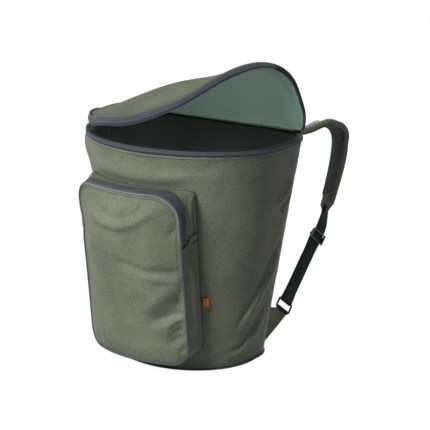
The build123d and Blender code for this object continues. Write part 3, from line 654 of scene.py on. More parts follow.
def yoke():
    spec = yokeSpec
    t = cornerShare(spec["hinge"])
    p = roundBack(t, *spec["steps"])
    wall = outline(p, tubSpec["height"], spec["offWall"])
    across = np.clip(wall[:, 0], -spec["halfHinge"], spec["halfHinge"])
    ends = pack(across, spec["hinge"], 0.0)
    levels = np.linspace(spec["low"], spec["high"] - spec["round"], spec["standRows"])
    rows = [pack(wall[:, 0], wall[:, 1], z) for z in levels]
    inward = unit(ends - wall * [1, 1, 0] + spec["nudge"])
    span = np.linalg.norm((ends - wall)[:, :2], axis=1)
    step = np.minimum(spec["round"], span * spec["roundShare"])[:, None]
    for turn in np.linspace(0, quarterTurn, spec["roundRows"] + 1)[1:]:
        spot = wall + inward * step * (1 - math.cos(turn))
        spot[:, 2] = spec["high"] - step[:, 0] * (1 - math.sin(turn))
        rows.append(spot)
    last = rows[-1]
    for t in np.linspace(0, 1, spec["topRows"] + 1)[1:]:
        spot = mix(last, pack(ends[:, 0], ends[:, 1], last[:, 2]), t)
        spot[:, 2] -= spec["sag"] * math.sin(math.pi * t) - softSwell(spot, spec["soft"])
        rows.append(spot)
    onTub(shell("lidYoke", np.array(rows), shellCloth, spec["thick"]), "shell_fabric", "lid_yoke")


baseCordSpec = {"steps": (120, 6, 18, 30), "grow": 0.0022, "level": 0.0027, "radius": 0.0017}


def baseCord():
    spec = baseCordSpec
    path = outline(roundTub(*spec["steps"])[:-1], 0.0, spec["grow"])
    path[:, 2] = spec["level"]
    outward = wayOut(tangents(path, True))
    cord = cordAlong("baseCord", path, spec["radius"], pipingCloth, outward, closed=True)
    onTub(cord, "piping", "base_piping")


rimZip()
yoke()
baseCord()
print("rim, yoke and base cord")


# lid: closed plan turned about the hinge, the front right corner turned most

lidSpec = {
    "hingeY": 0.105, "hingeZ": 0.428, "curl": math.radians(66.0), "cord": 0.0016, "cordHalf": 0.168,
    "cordSteps": 60,
    "atMiddle": 0.488, "perX": 1.22, "perY": 1.59, "perZ": -0.28, "height": 0.45, "taper": 0.06642,
    "firstShare": 0.4, "rounds": 60, "ease": 0.4, "nearby": 0.001,
    "swell": (0.0155, -0.012, -0.032, 0.1), "swellRim": 0.6, "swellHinge": 0.05,  # height, x, y and reach
    "dips": [(0.008, 0.089, -0.148, 0.049), (0.0099, -0.1915, -0.0226, 0.074),
             (-0.0078, -0.075, -0.146, 0.0606)],
    "pull": (-0.17, -0.085, 0.06, 0.0034, 0.0024),  # left end drawn in: place, reach, and how far in x and y
    "columns": 96, "rows": 56, "bunch": 0.5, "cornerSharp": 40, "backGap": 0.0026, "backFade": 0.05,
    "edgeFade": 0.5,
    "blend": ((-0.14475, -0.18959, 0.48378), (0.15187, 0.19891, 0.41456)),
}

lidFaceSpec = {
    "grow": 0.0006, "crown": 0.0012, "soft": [(0.0008, 0.06, 6.1)], "over": 0.0014, "under": 0.0008,
    "liningGrow": -0.0016, "liningEdge": -0.0012, "liningRise": -0.004, "liningFade": 2.5,
    "liningSag": 0.0008, "liningSoft": [(0.0012, 0.05, 8.8)], "liningUnder": 0.001,
}


def hill(x, y, atX, atY, wide):
    return np.exp(-((x - atX) ** 2 + (y - atY) ** 2) / wide ** 2)


def lidLevel(x, y):  # height of the shut lid
    spec = lidSpec
    half, front = tubSpec["rim"][:2]
    inset = 1 - (x / half) ** 2 - (np.minimum(y, 0) / front) ** 2
    fromHinge = (spec["hingeY"] - spec["cord"] - y) / spec["swellHinge"]
    swell = spec["swell"][0] * hill(x, y, *spec["swell"][1:])
    dip = sum(deep * hill(x, y, *place) for deep, *place in spec["dips"])
    level = spec["hingeZ"] + spec["taper"] * (spec["hingeY"] - y) - dip * smooth(fromHinge)
    return level + swell * smooth(np.minimum(inset, fromHinge) / spec["swellRim"])


def aboutHinge(y, z, turn):
    reach, rise = y - lidSpec["hingeY"], z - lidSpec["hingeZ"]
    newY = lidSpec["hingeY"] + reach * np.cos(turn) + rise * np.sin(turn)
    return newY, lidSpec["hingeZ"] - reach * np.sin(turn) + rise * np.cos(turn)


def lifted(x, y):  # a place on the shut lid, drawn in and curled up
    spec = lidSpec
    atX, atY, wide, inX, inY = spec["pull"]
    near = hill(x, y, atX, atY, wide)
    x, y = x + inX * near, y + inY * near
    level = lidLevel(x, y)
    turn = np.full(x.shape, spec["firstShare"] * spec["curl"])
    for _ in range(spec["rounds"]):
        newY, newZ = aboutHinge(y, level, turn)
        share = spec["atMiddle"] + spec["perX"] * x + spec["perY"] * newY
        share = share + spec["perZ"] * (newZ - spec["height"])
        turn = (1 - spec["ease"]) * turn + spec["ease"] * spec["curl"] * smooth(share)
    return pack(x, *aboutHinge(y, level, turn))


def lidFrames(x, y):  # point on the lid, and the ways square to its hinge: back, and up off the fabric
    spot = lifted(x, y)
    back = unit((lifted(x, y + lidSpec["nearby"]) - spot) * [0, 1, 1])
    return spot, back, pack(0.0, -back[..., 2], back[..., 1])


def lidGrid(grow):  # points of the lid's face, the way up off them, and how far they lie from its edge
    spec = lidSpec
    half, front, back, corner = tubSize(tubSpec["height"], grow)
    swing = np.linspace(-quarterTurn, quarterTurn, spec["columns"] + 1)
    x = half * np.sin(swing)
    past = np.maximum(np.abs(x) - (half - corner), 0)
    arc = back - corner + np.sqrt(np.maximum(corner ** 2 - past ** 2, 0))
    sharp = spec["cornerSharp"]
    far = (arc ** -sharp + (spec["hingeY"] - spec["backGap"]) ** -sharp) ** (-1 / sharp)
    t = np.linspace(0, 1, spec["rows"] + 1)[:, None]
    y = mix(-front * np.cos(swing)[None], far[None], mix(t, smooth(t), spec["bunch"]))
    x = np.broadcast_to(x[None], y.shape)
    rim = np.minimum((x / half) ** 2 + (np.minimum(y, 0) / front) ** 2, 1)
    inset = np.minimum(1 - rim, smooth((far[None] - y) / spec["backFade"]))
    spot, _, up = lidFrames(x, y)
    return spot, up, smooth(inset / spec["edgeFade"])


def bendLid(obj, slot, *nodes):
    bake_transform(finishPiece(obj, slot, *nodes))


def lidPanel():
    spec = lidFaceSpec
    spot, up, inset = lidGrid(spec["grow"])
    swell = spec["crown"] * inset + softSwell(spot, spec["soft"]) * inset
    face, under = spot + up * (spec["over"] + swell)[..., None], spot - up * spec["under"]
    # the lid panel takes the darker lid cloth: painted shade
    panel = shell("lidPanel", face, shadedLidCloth, under)
    bendLid(panel, "shell_fabric", "lid_panel", "lid_foam")
    spot, up, inset = lidGrid(spec["liningGrow"])
    sag = mix(spec["liningEdge"], spec["liningRise"], smooth(spec["liningFade"] * inset))
    sag = sag + softSwell(spot, spec["liningSoft"]) * inset - spec["liningSag"] * inset
    face, under = spot + up * sag[..., None], spot - up * spec["liningUnder"]
    lining = shell("lidLining", face[:, ::-1], lidLiningCloth, under[:, ::-1])
    bendLid(lining, "lid_lining", "lid_lining")


lidZipSpec = {
    "hingeGap": 0.002, "end": 0.0027, "share": 0.58, "least": 0.0012, "gap": 0.0016, "gapOver": (0.02, 0.06),
    "extra": (0.0028, -0.166, 0.1, 0.1, 0.06), "rightCut": (0.45, 0.145, 0.045),
    "front": (0.005, -0.03, 0.09), "shadeFrom": 0.186, "teeth": (0.0007, 0.0006), "seam": (0.58, 0.002),
    "edge": (-0.004, 0.0019),
    "tape": [  # (out from the edge, share of the tape's height down)
        (0.0004, -0.02), (0.0014, 0.1), (0.0019, 0.3), (0.002, 0.62), (0.0014, 0.9), (0.0, 1.0),
        (-0.0014, 0.92), (-0.002, 0.66), (-0.0022, 0.24), (-0.0014, 0.05)],
    "toothPitch": 0.0019, "tooth": (0.0011, 0.004, 0.0013),
    "stitchPitch": 0.0042, "stitch": (0.0031, 0.0008, 0.0007),
}


def lidRun(grow):  # the lid's free edge: its places, the ways out and up from it, and the tape's height
    spec = lidZipSpec
    line, outward = rimLine(grow, lidSpec["hingeY"] - spec["hingeGap"])
    x, y = line[:, 0], line[:, 1]
    spot, back, up = lidFrames(x, y)
    side = outward[:, :1] * np.array([[1.0, 0, 0]]) + outward[:, 1:2] * back
    tall = spec["end"] + spec["share"] * lidSpec["taper"] * (lidSpec["hingeY"] - y)
    tall = tall + spec["extra"][0] * within(y, *spec["extra"][1:])
    tall = tall * (1 - climb(x, *spec["rightCut"])) + lump(x, *spec["front"]) * (y < 0)
    room = lidLevel(x, y) - tubSpec["height"] - rimTape(line)[0] - spec["gap"]
    gapFrom, gapOver = spec["gapOver"]
    tall = mix(tall, np.minimum(tall, np.maximum(room, spec["least"])), smooth((gapFrom - x) / gapOver))
    return spot, side, up, tall[:, None]


def shadePastTop(obj, finish):  # painted shade: the zip half turns dark where the lid's edge comes down
    obj.data.materials.append(finish)
    for face in obj.data.polygons:
        if face.center.x > lidZipSpec["shadeFrom"]:
            face.material_index = len(obj.data.materials) - 1


def lidZip():
    spec = lidZipSpec
    line, side, up, tall = lidRun(0.0)
    profile = [[(out, -down * t) for out, down in spec["tape"]] for t in tall[:, 0]]
    tape = sweep("lidZipTape", line, side, up, profile, lidTapeCloth)
    shadePastTop(tape, shadedTapeCloth)
    bendLid(tape, "zip_tape", "lid_zip_tape")
    (below, inside), (share, out), (grow, over) = spec["teeth"], spec["seam"], spec["edge"]
    low = line - up * (tall + below) - side * inside
    teeth = rowOf("tooth", "lidZipTeeth", [(low, -up)], spec, zipCoil)
    shadePastTop(teeth, shadedCoil)
    bendLid(teeth, "zip_coil", "lid_zip_coil")
    seam = line - up * tall * share + side * out
    bendLid(rowOf("stitch", "lidTapeStitches", [(seam, side)], spec, threadSlate), "piping")
    edge, _, edgeUp, _ = lidRun(grow)
    bendLid(rowOf("stitch", "lidStitches", [(edge + edgeUp * over, edgeUp)], spec, threadDark), "piping")


endSpec = {
    "from": math.radians(46.0), "to": math.radians(6.0), "grow": -0.0006, "wide": 0.0095, "lift": 0.002,
    "rise": 0.0056, "hem": 0.0009, "thick": 0.0008, "taper": (0.05, 0.95, 0.5), "fold": 0.7,
    "columns": 33, "rows": 9,
}


def lidEnd():  # turned-up end of the tape at the lid's left: painted shade on the tape between its hems, which carry a painted highlight
    spec = endSpec
    along = np.linspace(0, 1, spec["columns"])[None]
    across = np.linspace(0, 1, spec["rows"])[:, None]
    turn = mix(spec["from"], spec["to"], along)
    start, end, power = spec["taper"]
    taper = np.sin(math.pi * mix(start, end, along)) ** power
    grow = spec["grow"] - spec["wide"] * across * taper
    half, front = tubSpec["rim"][:2]
    spot, _, up = lidFrames(-(half + grow) * np.cos(turn), -(front + grow) * np.sin(turn))
    rise = spec["lift"] + spec["rise"] * np.sin(math.pi * across ** spec["fold"]) ** spec["fold"] * taper
    grid = spot + up * rise[..., None]
    bendLid(shell("lidEndFold", grid[::-1], shadedTapeCloth, spec["thick"]), "zip_tape")
    for name, row in (("lidEndHem_outer", 0), ("lidEndHem_inner", -1)):
        # the pale hems carry a painted highlight
        bendLid(cordAlong(name, grid[row], spec["hem"], foldHighlightCloth, up[row], sides=6), "piping")


def lidCord():
    spec = lidSpec
    across = np.linspace(-spec["cordHalf"], spec["cordHalf"], spec["cordSteps"])
    path = np.array([(x, spec["hingeY"], spec["hingeZ"]) for x in across])
    up = np.tile([0.0, 0.0, 1.0], (len(path), 1))
    cord = cordAlong("lidHingeFold", path, spec["cord"], shellCloth, up)
    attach(finishPiece(cord, "piping", "lid_hinge_cord"), "lid")


lidPanel()
lidZip()
lidEnd()
lidCord()
print("lid")


# front pocket: rounded outline standing off the wall

pocketSpec = {
    "half": 0.1115, "foot": 0.031, "top": 0.357, "footRound": 0.03, "topRound": 0.042, "rearRound": 0.006,
    "rear": 0.0008, "front": 0.047, "zipLow": 0.264, "coil": 0.0412, "zipFront": 0.0462, "thick": 0.0014,
    "steps": {"foot": 12, "footCorner": 10, "low": 30, "high": 8, "topCorner": 16, "top": 40},
    "notchAt": (0.271, 0.02), "tiltFrom": (0.6, 0.4), "ease": 1.15, "arch": 0.0034, "archRun": (8, 14),
    "toothPitch": 0.0021, "tooth": (0.0013, 0.0052, 0.0016),
    "stitchPitch": 0.004, "stitch": (0.0029, 0.0008, 0.0007),
}

evenSides = {"waist": 0.0, "notch": 0.0}
pocketEdges = {  # places of its sides at foot and top: round the face, at the coil, at the wall seam
    "front": {"left": (-0.124, -0.1205), "right": (0.1035, 0.1052), "waist": 0.0062, "notch": 0.006,
              "tilt": 0.006, "drop": 0.003},
    "side": {**evenSides, "left": (-0.1175, -0.1175), "right": (0.1035, 0.1052),
             "tilt": 0.018, "drop": 0.0015},
    "rear": {**evenSides, "left": (-0.112, -0.13), "right": (0.0995, 0.107),
             "tilt": 0.004, "drop": 0.004},
}


def pocketShare(z):
    return (z - pocketSpec["foot"]) / (pocketSpec["top"] - pocketSpec["foot"])


def pocketSide(edges, side, z):  # place across of a side; the left is drawn in at its middle and slider
    place = mix(*edges[side], pocketShare(z))
    if side == "left":
        place = place + edges["waist"] * np.sin(math.pi * np.clip(pocketShare(z), 0, 1))
        place = place + lump(z, edges["notch"], *pocketSpec["notchAt"])
    return place


def pocketPlace(flat, edges):  # even (x, z) outline, moved to where the pocket's sides stand
    z = flat[..., 1]
    left, right = [pocketSide(edges, side, z) for side in ("left", "right")]
    x = mix(left, right, (flat[..., 0] / pocketSpec["half"] + 1) / 2)
    tilt = climb(pocketShare(z), edges["tilt"] * x + edges["drop"], *pocketSpec["tiltFrom"])
    return pack(x, z - tilt)


def pocketLoop(topRound, edges):  # (x, z) outline from mid foot to the right, over the top and back
    spec, n = pocketSpec, pocketSpec["steps"]
    half, foot, top, low = spec["half"], spec["foot"], spec["top"], spec["footRound"]

    def turns(count):
        return np.linspace(0, quarterTurn, n[count], endpoint=False)

    right = [((half - low) * k / n["foot"], foot) for k in range(n["foot"])]
    right += [(half - low + low * math.sin(a), foot + low - low * math.cos(a)) for a in turns("footCorner")]
    right += [(half, z) for z in np.linspace(foot + low, spec["zipLow"], n["low"], endpoint=False)]
    right += [(half, z) for z in np.linspace(spec["zipLow"], top - topRound, n["high"], endpoint=False)]
    right += [(half - topRound + topRound * math.cos(a), top - topRound + topRound * math.sin(a))
              for a in turns("topCorner")]
    right += [((half - topRound) * (1 - 2 * k / n["top"]), top) for k in range(n["top"] // 2 + 1)]
    left = [(-x, z) for x, z in right[-2:0:-1]]
    return pocketPlace(np.array(right + left), edges)


def loopOut(loop):  # outward direction of the outline, in its own plane
    return tangents(loop, True)[:, ::-1] * [1, -1]


frontLoop = pocketLoop(pocketSpec["topRound"], pocketEdges["front"])
sideLoop = pocketLoop(pocketSpec["topRound"], pocketEdges["side"])
rearLoop = pocketLoop(pocketSpec["rearRound"], pocketEdges["rear"])
frontOut, rearOut = loopOut(frontLoop), loopOut(rearLoop)
zipFirst = sum(pocketSpec["steps"][k] for k in ("foot", "footCorner", "low"))
wholeRun = np.arange(len(frontLoop))
zipRun = wholeRun[zipFirst:len(frontLoop) - zipFirst + 1]
footRun = np.concatenate([wholeRun[-zipFirst:], wholeRun[:zipFirst + 1]])
zipShare = np.zeros(len(frontLoop))
zipShare[zipRun] = climb(np.minimum(zipRun - zipRun[0], zipRun[-1] - zipRun), 1, *pocketSpec["archRun"])


def gussetShare(depth):  # shares of the way out from the wall seam: plain, eased, and past the coil
    spec = pocketSpec
    t = (depth - spec["rear"]) / (spec["front"] - spec["rear"])
    return t, smooth(t * spec["ease"]), smooth((depth - spec["coil"]) / (spec["front"] - spec["coil"]))


def gussetSpot(run, depth, out=0.0):  # points round the gusset at a depth, and the way out of it
    depth = depth + 0.0 * run
    t, ease, pastCoil = gussetShare(depth)
    flat = mix(mix(rearLoop[run], sideLoop[run], ease[..., None]), frontLoop[run], pastCoil[..., None])
    way = unit(mix(rearOut[run], frontOut[run], ease[..., None]))
    arch = pocketSpec["arch"] * zipShare[run] * np.sin(math.pi * np.clip(t, 0, 1))
    x, z = np.moveaxis(flat + way * (arch + out)[..., None], -1, 0)
    outward = pack(way[..., 0], 0.0, way[..., 1])
    return onFront(x, z, depth), outward


def gussetGrid(run, low, high, rows):
    depth = mix(low + 0.0 * run, high + 0.0 * run, np.linspace(0, 1, rows)[:, None])
    return *gussetSpot(np.broadcast_to(run[None], depth.shape), depth), depth


def gussetSide(z, depth, side):  # place across of the gusset's side, at a height and a depth
    _, ease, pastCoil = gussetShare(depth)
    rear, middle, front = [pocketSide(pocketEdges[k], side, z) for k in ("rear", "side", "front")]
    return mix(mix(rear, middle, ease), front, pastCoil)


faceSpec = {
    "out": 0.0006, "bulge": 0.0052, "puff": (0.06, 2.4), "belly": 0.01, "bellyTop": 0.066,
    "bellyFoot": 0.3, "bellySide": 0.06, "creaseEdge": (0.012, 0.15), "softEdge": 0.02,
    "soft": [(0.0011, 0.045, 1.7), (0.0006, 0.018, 4.9)], "rows": 62, "roundRows": 13, "columns": 91,
    "spread": 0.86,
}

pocketCreases = [  # (x, z) lines on the face, with their width and height
    ([(-0.078, 0.336), (-0.065, 0.314), (-0.049, 0.302), (-0.039, 0.296), (-0.006, 0.291),
      (0.029, 0.305), (0.057, 0.324), (0.082, 0.346)], 0.0085, 0.0052),
    ([(-0.058, 0.342), (-0.048, 0.318), (-0.024, 0.306), (0.002, 0.305), (0.032, 0.318),
      (0.06, 0.343)], 0.0075, -0.003),
    ([(-0.07, 0.298), (-0.041, 0.28), (-0.008, 0.273), (0.033, 0.287), (0.072, 0.316)], 0.014, -0.001),
    ([(-0.034, 0.352), (-0.035, 0.331), (-0.033, 0.314)], 0.006, 0.0024),
    ([(0.002, 0.352), (0.0, 0.33), (0.0, 0.312)], 0.0055, 0.0024),
    ([(0.035, 0.352), (0.032, 0.332), (0.031, 0.318)], 0.0055, 0.0022),
    ([(-0.013, 0.352), (-0.016, 0.33), (-0.018, 0.31)], 0.005, -0.002),
    ([(0.017, 0.352), (0.017, 0.332), (0.018, 0.316)], 0.005, -0.002),
    ([(-0.03, 0.227), (0.01, 0.219), (0.048, 0.2115), (0.095, 0.2125), (0.124, 0.216)], 0.008, -0.0038),
    ([(0.026, 0.203), (0.0766, 0.1985), (0.124, 0.2005)], 0.0085, 0.0034),
    ([(0.036, 0.126), (0.052, 0.151), (0.0745, 0.174), (0.116, 0.197)], 0.012, 0.003),
    ([(0.034, 0.107), (0.079, 0.138), (0.108, 0.159), (0.126, 0.17)], 0.015, -0.008),
    ([(0.041, 0.108), (0.063, 0.117), (0.088, 0.128), (0.124, 0.14)], 0.007, -0.0036),
    ([(0.064, 0.103), (0.074, 0.108), (0.107, 0.1265), (0.124, 0.133)], 0.0058, 0.0036),
    ([(0.076, 0.104), (0.0845, 0.1085), (0.1065, 0.12), (0.122, 0.127)], 0.0045, -0.0028),
    ([(0.072, 0.085), (0.0816, 0.0896), (0.1073, 0.1095), (0.122, 0.12)], 0.0055, -0.004),
    ([(0.07, 0.071), (0.0786, 0.0755), (0.108, 0.0913), (0.122, 0.0985)], 0.005, -0.004),
    ([(0.088, 0.054), (0.0945, 0.058), (0.122, 0.078)], 0.0045, -0.0026),
    ([(0.072, 0.14), (0.092, 0.095), (0.1, 0.07)], 0.022, -0.0046),
    ([(0.084, 0.274), (0.116, 0.318)], 0.007, -0.0024),
    ([(-0.106, 0.226), (-0.102, 0.186), (-0.106, 0.14)], 0.01, -0.0024),
    ([(-0.106, 0.09), (-0.06, 0.062), (0.0, 0.054), (0.06, 0.06)], 0.012, 0.0024),
    ([(-0.104, 0.29), (-0.08, 0.262), (-0.07, 0.23)], 0.01, 0.0022),
]


def pocketFace():
    spec, body = faceSpec, pocketSpec
    half, foot, top = body["half"], body["foot"], body["top"]
    a = np.linspace(0, quarterTurn, spec["roundRows"])
    lowZ, lowHalf = foot + body["footRound"] * (1 - np.cos(a)), half - body["footRound"] * (1 - np.sin(a))
    highZ, highHalf = top - body["topRound"] * (1 - np.cos(a)), half - body["topRound"] * (1 - np.sin(a))
    middle = np.linspace(lowZ[-1], highZ[-1], spec["rows"])[1:-1]
    z = np.concatenate([lowZ, middle, highZ[::-1]])[:, None]
    half = np.concatenate([lowHalf, np.full(len(middle), half), highHalf[::-1]])[:, None]
    u = np.sin(np.linspace(-quarterTurn, quarterTurn, spec["columns"]) * spec["spread"])[None]
    x = u / u[0, -1] * half
    z = np.broadcast_to(z, x.shape)
    fromSide = half - np.abs(x)
    edge = np.minimum(fromSide, np.minimum(z - foot, top - z))
    puffOver, puffPower = spec["puff"]
    puff = 1 - (1 - np.clip(edge / puffOver, 0, 1)) ** puffPower
    belly = within(z, foot, spec["bellyFoot"], top, spec["bellyTop"]) * smooth(fromSide / spec["bellySide"])
    placed = pocketPlace(pack(x, z), pocketEdges["front"])
    x, z = placed[..., 0], placed[..., 1]
    creaseOver, creaseRest = spec["creaseEdge"]
    swell = spec["bulge"] * puff + spec["belly"] * belly
    swell += creaseSwell(placed, pocketCreases) * smooth(edge / creaseOver + creaseRest)
    swell += softSwell(pack(x, 0.0, z), spec["soft"]) * smooth(edge / spec["softEdge"])
    face = onFront(x, z, body["front"] + spec["out"])
    outer = face + gridNormals(face) * swell[..., None]
    onTub(shell("pocketFace", outer, shellCloth, body["thick"]), "shell_fabric", "pocket_front")


gussetSpec = {
    "rows": 26, "facingRows": 18, "lap": 0.0012, "side": (0.7, 0.3), "soft": [(0.001, 0.03, 5.5)],
    "sag": 0.0012, "foldHold": 3,
}

gussetCreases = [  # folds of the right side: (depth, z) lines, with their width and height
    ([(0.002, 0.35), (0.012, 0.34), (0.017, 0.324), (0.0175, 0.3), (0.0165, 0.27)], 0.0046, 0.0052),
    ([(0.008, 0.328), (0.0085, 0.3), (0.008, 0.27)], 0.0045, -0.0024),
    ([(0.014, 0.256), (0.0135, 0.15), (0.013, 0.06)], 0.0042, -0.005),
    ([(0.0245, 0.244), (0.024, 0.15), (0.024, 0.07)], 0.011, 0.0082),
    ([(0.006, 0.128), (0.022, 0.117), (0.042, 0.112)], 0.0034, -0.002),
]

pocketZipSpec = {  # the zip is broadest at the right of its top: (share of its run, depth of its rear edge)
    "rear": [(0.0, 0.031), (0.1, 0.0305), (0.2, 0.0272), (0.3, 0.0228), (0.42, 0.027),
             (0.55, 0.0315), (1.0, 0.032)],
    "gap": 0.0006, "rows": 7, "out": 0.0012, "arch": 0.0006, "thick": 0.001, "teethOut": 0.0014,
    "seams": (0.16, 0.74), "seamOut": 0.0022,
}
zipRear = np.interp((zipRun - zipRun[0]) / (len(zipRun) - 1), *zip(*pocketZipSpec["rear"]))


def pocketGusset():
    spec, body = gussetSpec, pocketSpec
    for name, run, high, rows, node in (
            ("pocketGusset", footRun, body["front"], spec["rows"], "pocket_gusset"),
            ("pocketFacing", zipRun, zipRear + spec["lap"], spec["facingRows"], "pocket_zip_facing")):
        grid, out, depth = gussetGrid(run, body["rear"], high, rows)
        hold = np.sin(math.pi * np.linspace(0, 1, rows)[:, None])
        folds = creaseSwell(pack(depth, grid[..., 2]), gussetCreases)
        folds = climb(out[..., 0], folds, *spec["side"]) * smooth(hold * spec["foldHold"])
        sag = (softSwell(grid, spec["soft"]) - spec["sag"]) * hold + folds
        outer = (grid + out * sag[..., None])[::-1]
        onTub(shell(name, outer, shellCloth, body["thick"]), "shell_fabric", node)


def pocketZip():
    spec, coil = pocketZipSpec, pocketSpec["coil"]
    arch = spec["out"] + spec["arch"] * np.sin(math.pi * np.linspace(0, 1, spec["rows"]))[:, None, None]
    for name, low, high, node in (
            ("pocketZipRearTape", zipRear, coil - spec["gap"], "pocket_zip_rear_tape"),
            ("pocketZipFrontTape", coil + spec["gap"], pocketSpec["zipFront"], "pocket_zip_front_tape")):
        grid, out, _ = gussetGrid(zipRun, low, high, spec["rows"])
        onTub(shell(name, (grid + out * arch)[::-1], zipTapeCloth, spec["thick"]), "zip_tape", node)
    middle = [gussetSpot(zipRun, coil, spec["teethOut"])]
    onTub(rowOf("tooth", "pocketZipTeeth", middle, pocketSpec, zipCoil), "zip_coil", "pocket_zip_coil")
    seams = [gussetSpot(zipRun, mix(zipRear, coil, share), spec["seamOut"]) for share in spec["seams"]]
    onTub(rowOf("stitch", "pocketZipStitches", seams, pocketSpec, threadSlate), "piping")


cordSpec = {  # run, finish, depth out from the wall, height off the gusset, radius, and what it stands for
    "pocketCord": (wholeRun, cordCloth, pocketSpec["front"] + 0.0004, 0.0016, 0.002, "pocket_piping"),
    "pocketCordShadow": (wholeRun, pipingCloth, pocketSpec["front"] - 0.0012, 0.0006, 0.0008),
    # the Fold and Edge lines take the pale fold cloth: painted highlight
    "pocketZipFold": (zipRun, foldHighlightCloth, pocketSpec["front"] + 0.0024, 0.0006, 0.0007),
    "pocketZipEdge": (zipRun, foldHighlightCloth, pocketSpec["front"] - 0.0009, 0.0024, 0.0006),
    "gussetCord": (wholeRun, pipingCloth, 0.0012, 0.0012, 0.0016, "gusset_piping"),
    "gussetFold": (wholeRun, foldHighlightCloth, 0.003, 0.0004, 0.0007),
}
faceSeam = {"past": 0.0034, "in": 0.0052}


def pocketCords():
    for name, (run, finish, depth, out, radius, *nodes) in cordSpec.items():
        path, outward = gussetSpot(run, depth, out)
        onTub(cordAlong(name, path, radius, finish, outward, run is wholeRun, sides=8), "piping", *nodes)
    path, _ = gussetSpot(wholeRun, pocketSpec["front"] + faceSeam["past"], -faceSeam["in"])
    front = np.tile([0.0, -1.0, 0.0], (len(path), 1))
    onTub(rowOf("stitch", "pocketStitches", [(path, front)], pocketSpec, threadDark), "piping")


lipSpec = {  # its edge from wall to face: first height, then (new height, from what share, over what)
    "rear": 0.277, "edge": [(0.274, 0.0, 0.5), (0.262, 0.48, 0.16), (0.257, 0.64, 0.36)],
    "first": 0.02, "columns": 26, "rows": 7, "from": 0.0016, "to": 0.0004, "deep": 0.012, "lift": 0.0022,
    "hug": 0.75, "thick": 0.0012, "seamRow": 2, "seamOut": 0.0004, "stitchPitch": 0.003,
    "stitch": pocketSpec["stitch"],
}


def pocketLips():  # hemmed top of the gusset over each end of the zip
    spec = lipSpec
    t = np.linspace(spec["first"], 1.0, spec["columns"])[:, None]
    edge = before = spec["rear"]
    for after, start, over in spec["edge"]:
        edge = edge + climb(t, after - before, start, over)
        before = after
    rows = np.linspace(0, 1, spec["rows"])[None]
    depth = mix(pocketSpec["rear"] + spec["from"], pocketSpec["front"] - spec["to"], t) + 0 * rows
    z = edge - spec["deep"] * rows
    seams = []
    for way, side in ((1, "right"), (-1, "left")):
        x = gussetSide(z, depth, side) + way * spec["lift"] * (1 - spec["hug"] * rows ** 2)
        grid = onFront(x, z, depth)
        onTub(shell("pocketLip_" + side, grid[::-way, ::-1], shellCloth, spec["thick"]), "shell_fabric")
        out = np.tile([float(way), 0.0, 0.0], (len(grid), 1))
        seams.append((grid[:, spec["seamRow"]] + out * spec["seamOut"], out))
    onTub(rowOf("stitch", "pocketLipStitches", seams, spec, threadDark), "piping")


tabSpec = {
    "root": 0.1074, "reach": 0.0092, "low": 0.1314, "high": 0.1486, "rise": 0.0016, "lift": 0.0016,
    "thick": 0.002, "steps": 10,
}


def seamTab():
    spec = tabSpec
    z = np.linspace(spec["low"], spec["high"], spec["steps"])[:, None]
    t = np.linspace(0, 1, spec["steps"])[None]
    x = spec["root"] + spec["reach"] * t
    grid = onFront(x, z, spec["rise"] + spec["thick"] + spec["lift"] * t ** 2)
    onTub(shell("seamTab", grid, tabCloth, spec["thick"]), "woven_tab", "seam_tab")


pocketFace()
pocketGusset()
pocketZip()
pocketCords()
pocketLips()
seamTab()
print("front pocket")


# shoulder straps: pad from the back panel, webbing through the slide buckle to the foot ring and wedge

strapSpec = {
    "points": [(0.097, 0.1484, 0.404), (0.112, 0.215, 0.399), (0.119, 0.263, 0.4006), (0.122, 0.322, 0.392),
               (0.124, 0.3547, 0.3642), (0.125, 0.354, 0.3423), (0.127, 0.3305, 0.2845),
               (0.129, 0.299, 0.234)],
    "turns": [(0.0, 0.0), (0.34, -22.5), (0.455, -5.0), (0.655, 36.5), (1.0, 39.0)],  # (share, degrees)
    "startWay": (0.1, 1.0, 0.05), "endWay": (0.03, -0.55, -0.84), "stations": 100, "tip": 0.016,
    "tipStations": 9, "wide": 0.058, "narrow": 0.048, "narrowFrom": 0.6, "tipWide": 0.023,
    "tipThick": 0.0022, "tipCurves": (0.8, 0.7), "thick": 0.006, "rootThin": (0.7, 6), "boxy": 0.36,
    "sides": 44, "meshFrom": 5, "meshTo": 94, "meshColumns": 15, "meshInset": 0.0034, "mesh": 0.001,
    "meshEdge": 0.0002, "meshDeep": 0.0012, "meshFall": 4,
    "lines": [(-0.93, 0.0013), (0.4, 0.0011), (0.93, 0.0013)],  # bindings: share of the width, radius
    "seams": [(0.85, -1.0), (1.0, 0.55)], "seamRun": slice(2, -12),
    "stitchPitch": 0.004, "stitch": (0.003, 0.0009, 0.0008),
}

webSpec = {
    "ringTop": (0.132, 0.142, 0.076), "way": (-0.01, 0.74, 0.672), "facing": (0.905, -0.275, 0.317),
    "width": 0.025, "thick": 0.0015, "layer": 0.0035, "pinch": 0.0014, "pinchRing": 0.03,
    "pinchBuckle": 0.034, "long": 0.168, "tail": 0.166, "buckle": 0.152, "foot": 0.002, "head": 0.004,
    "padShift": (0.0, -0.0015, -0.0024), "rootTwist": math.radians(88.0), "endTwist": math.radians(115.0),
    "upper": 40, "plies": 50, "bend": 13, "eased": range(30, 56), "easeOver": 6,
}

wedgeSpec = {
    "high": 0.084, "low": 0.012, "ring": 0.02, "hem": 0.00345, "half": 0.0127, "thick": 0.0019,
    "offWall": -0.0006, "rows": 18, "columns": 13, "hemSteps": 24, "hemTurn": 1.9 * math.pi,
    "facing": (1.0, -0.2, 0.1), "sway": (0.001, 9), "bendEnd": 0.8, "seamOut": 0.0003,
    "seamColumns": (1, 11), "seamRows": (2, 15),
}


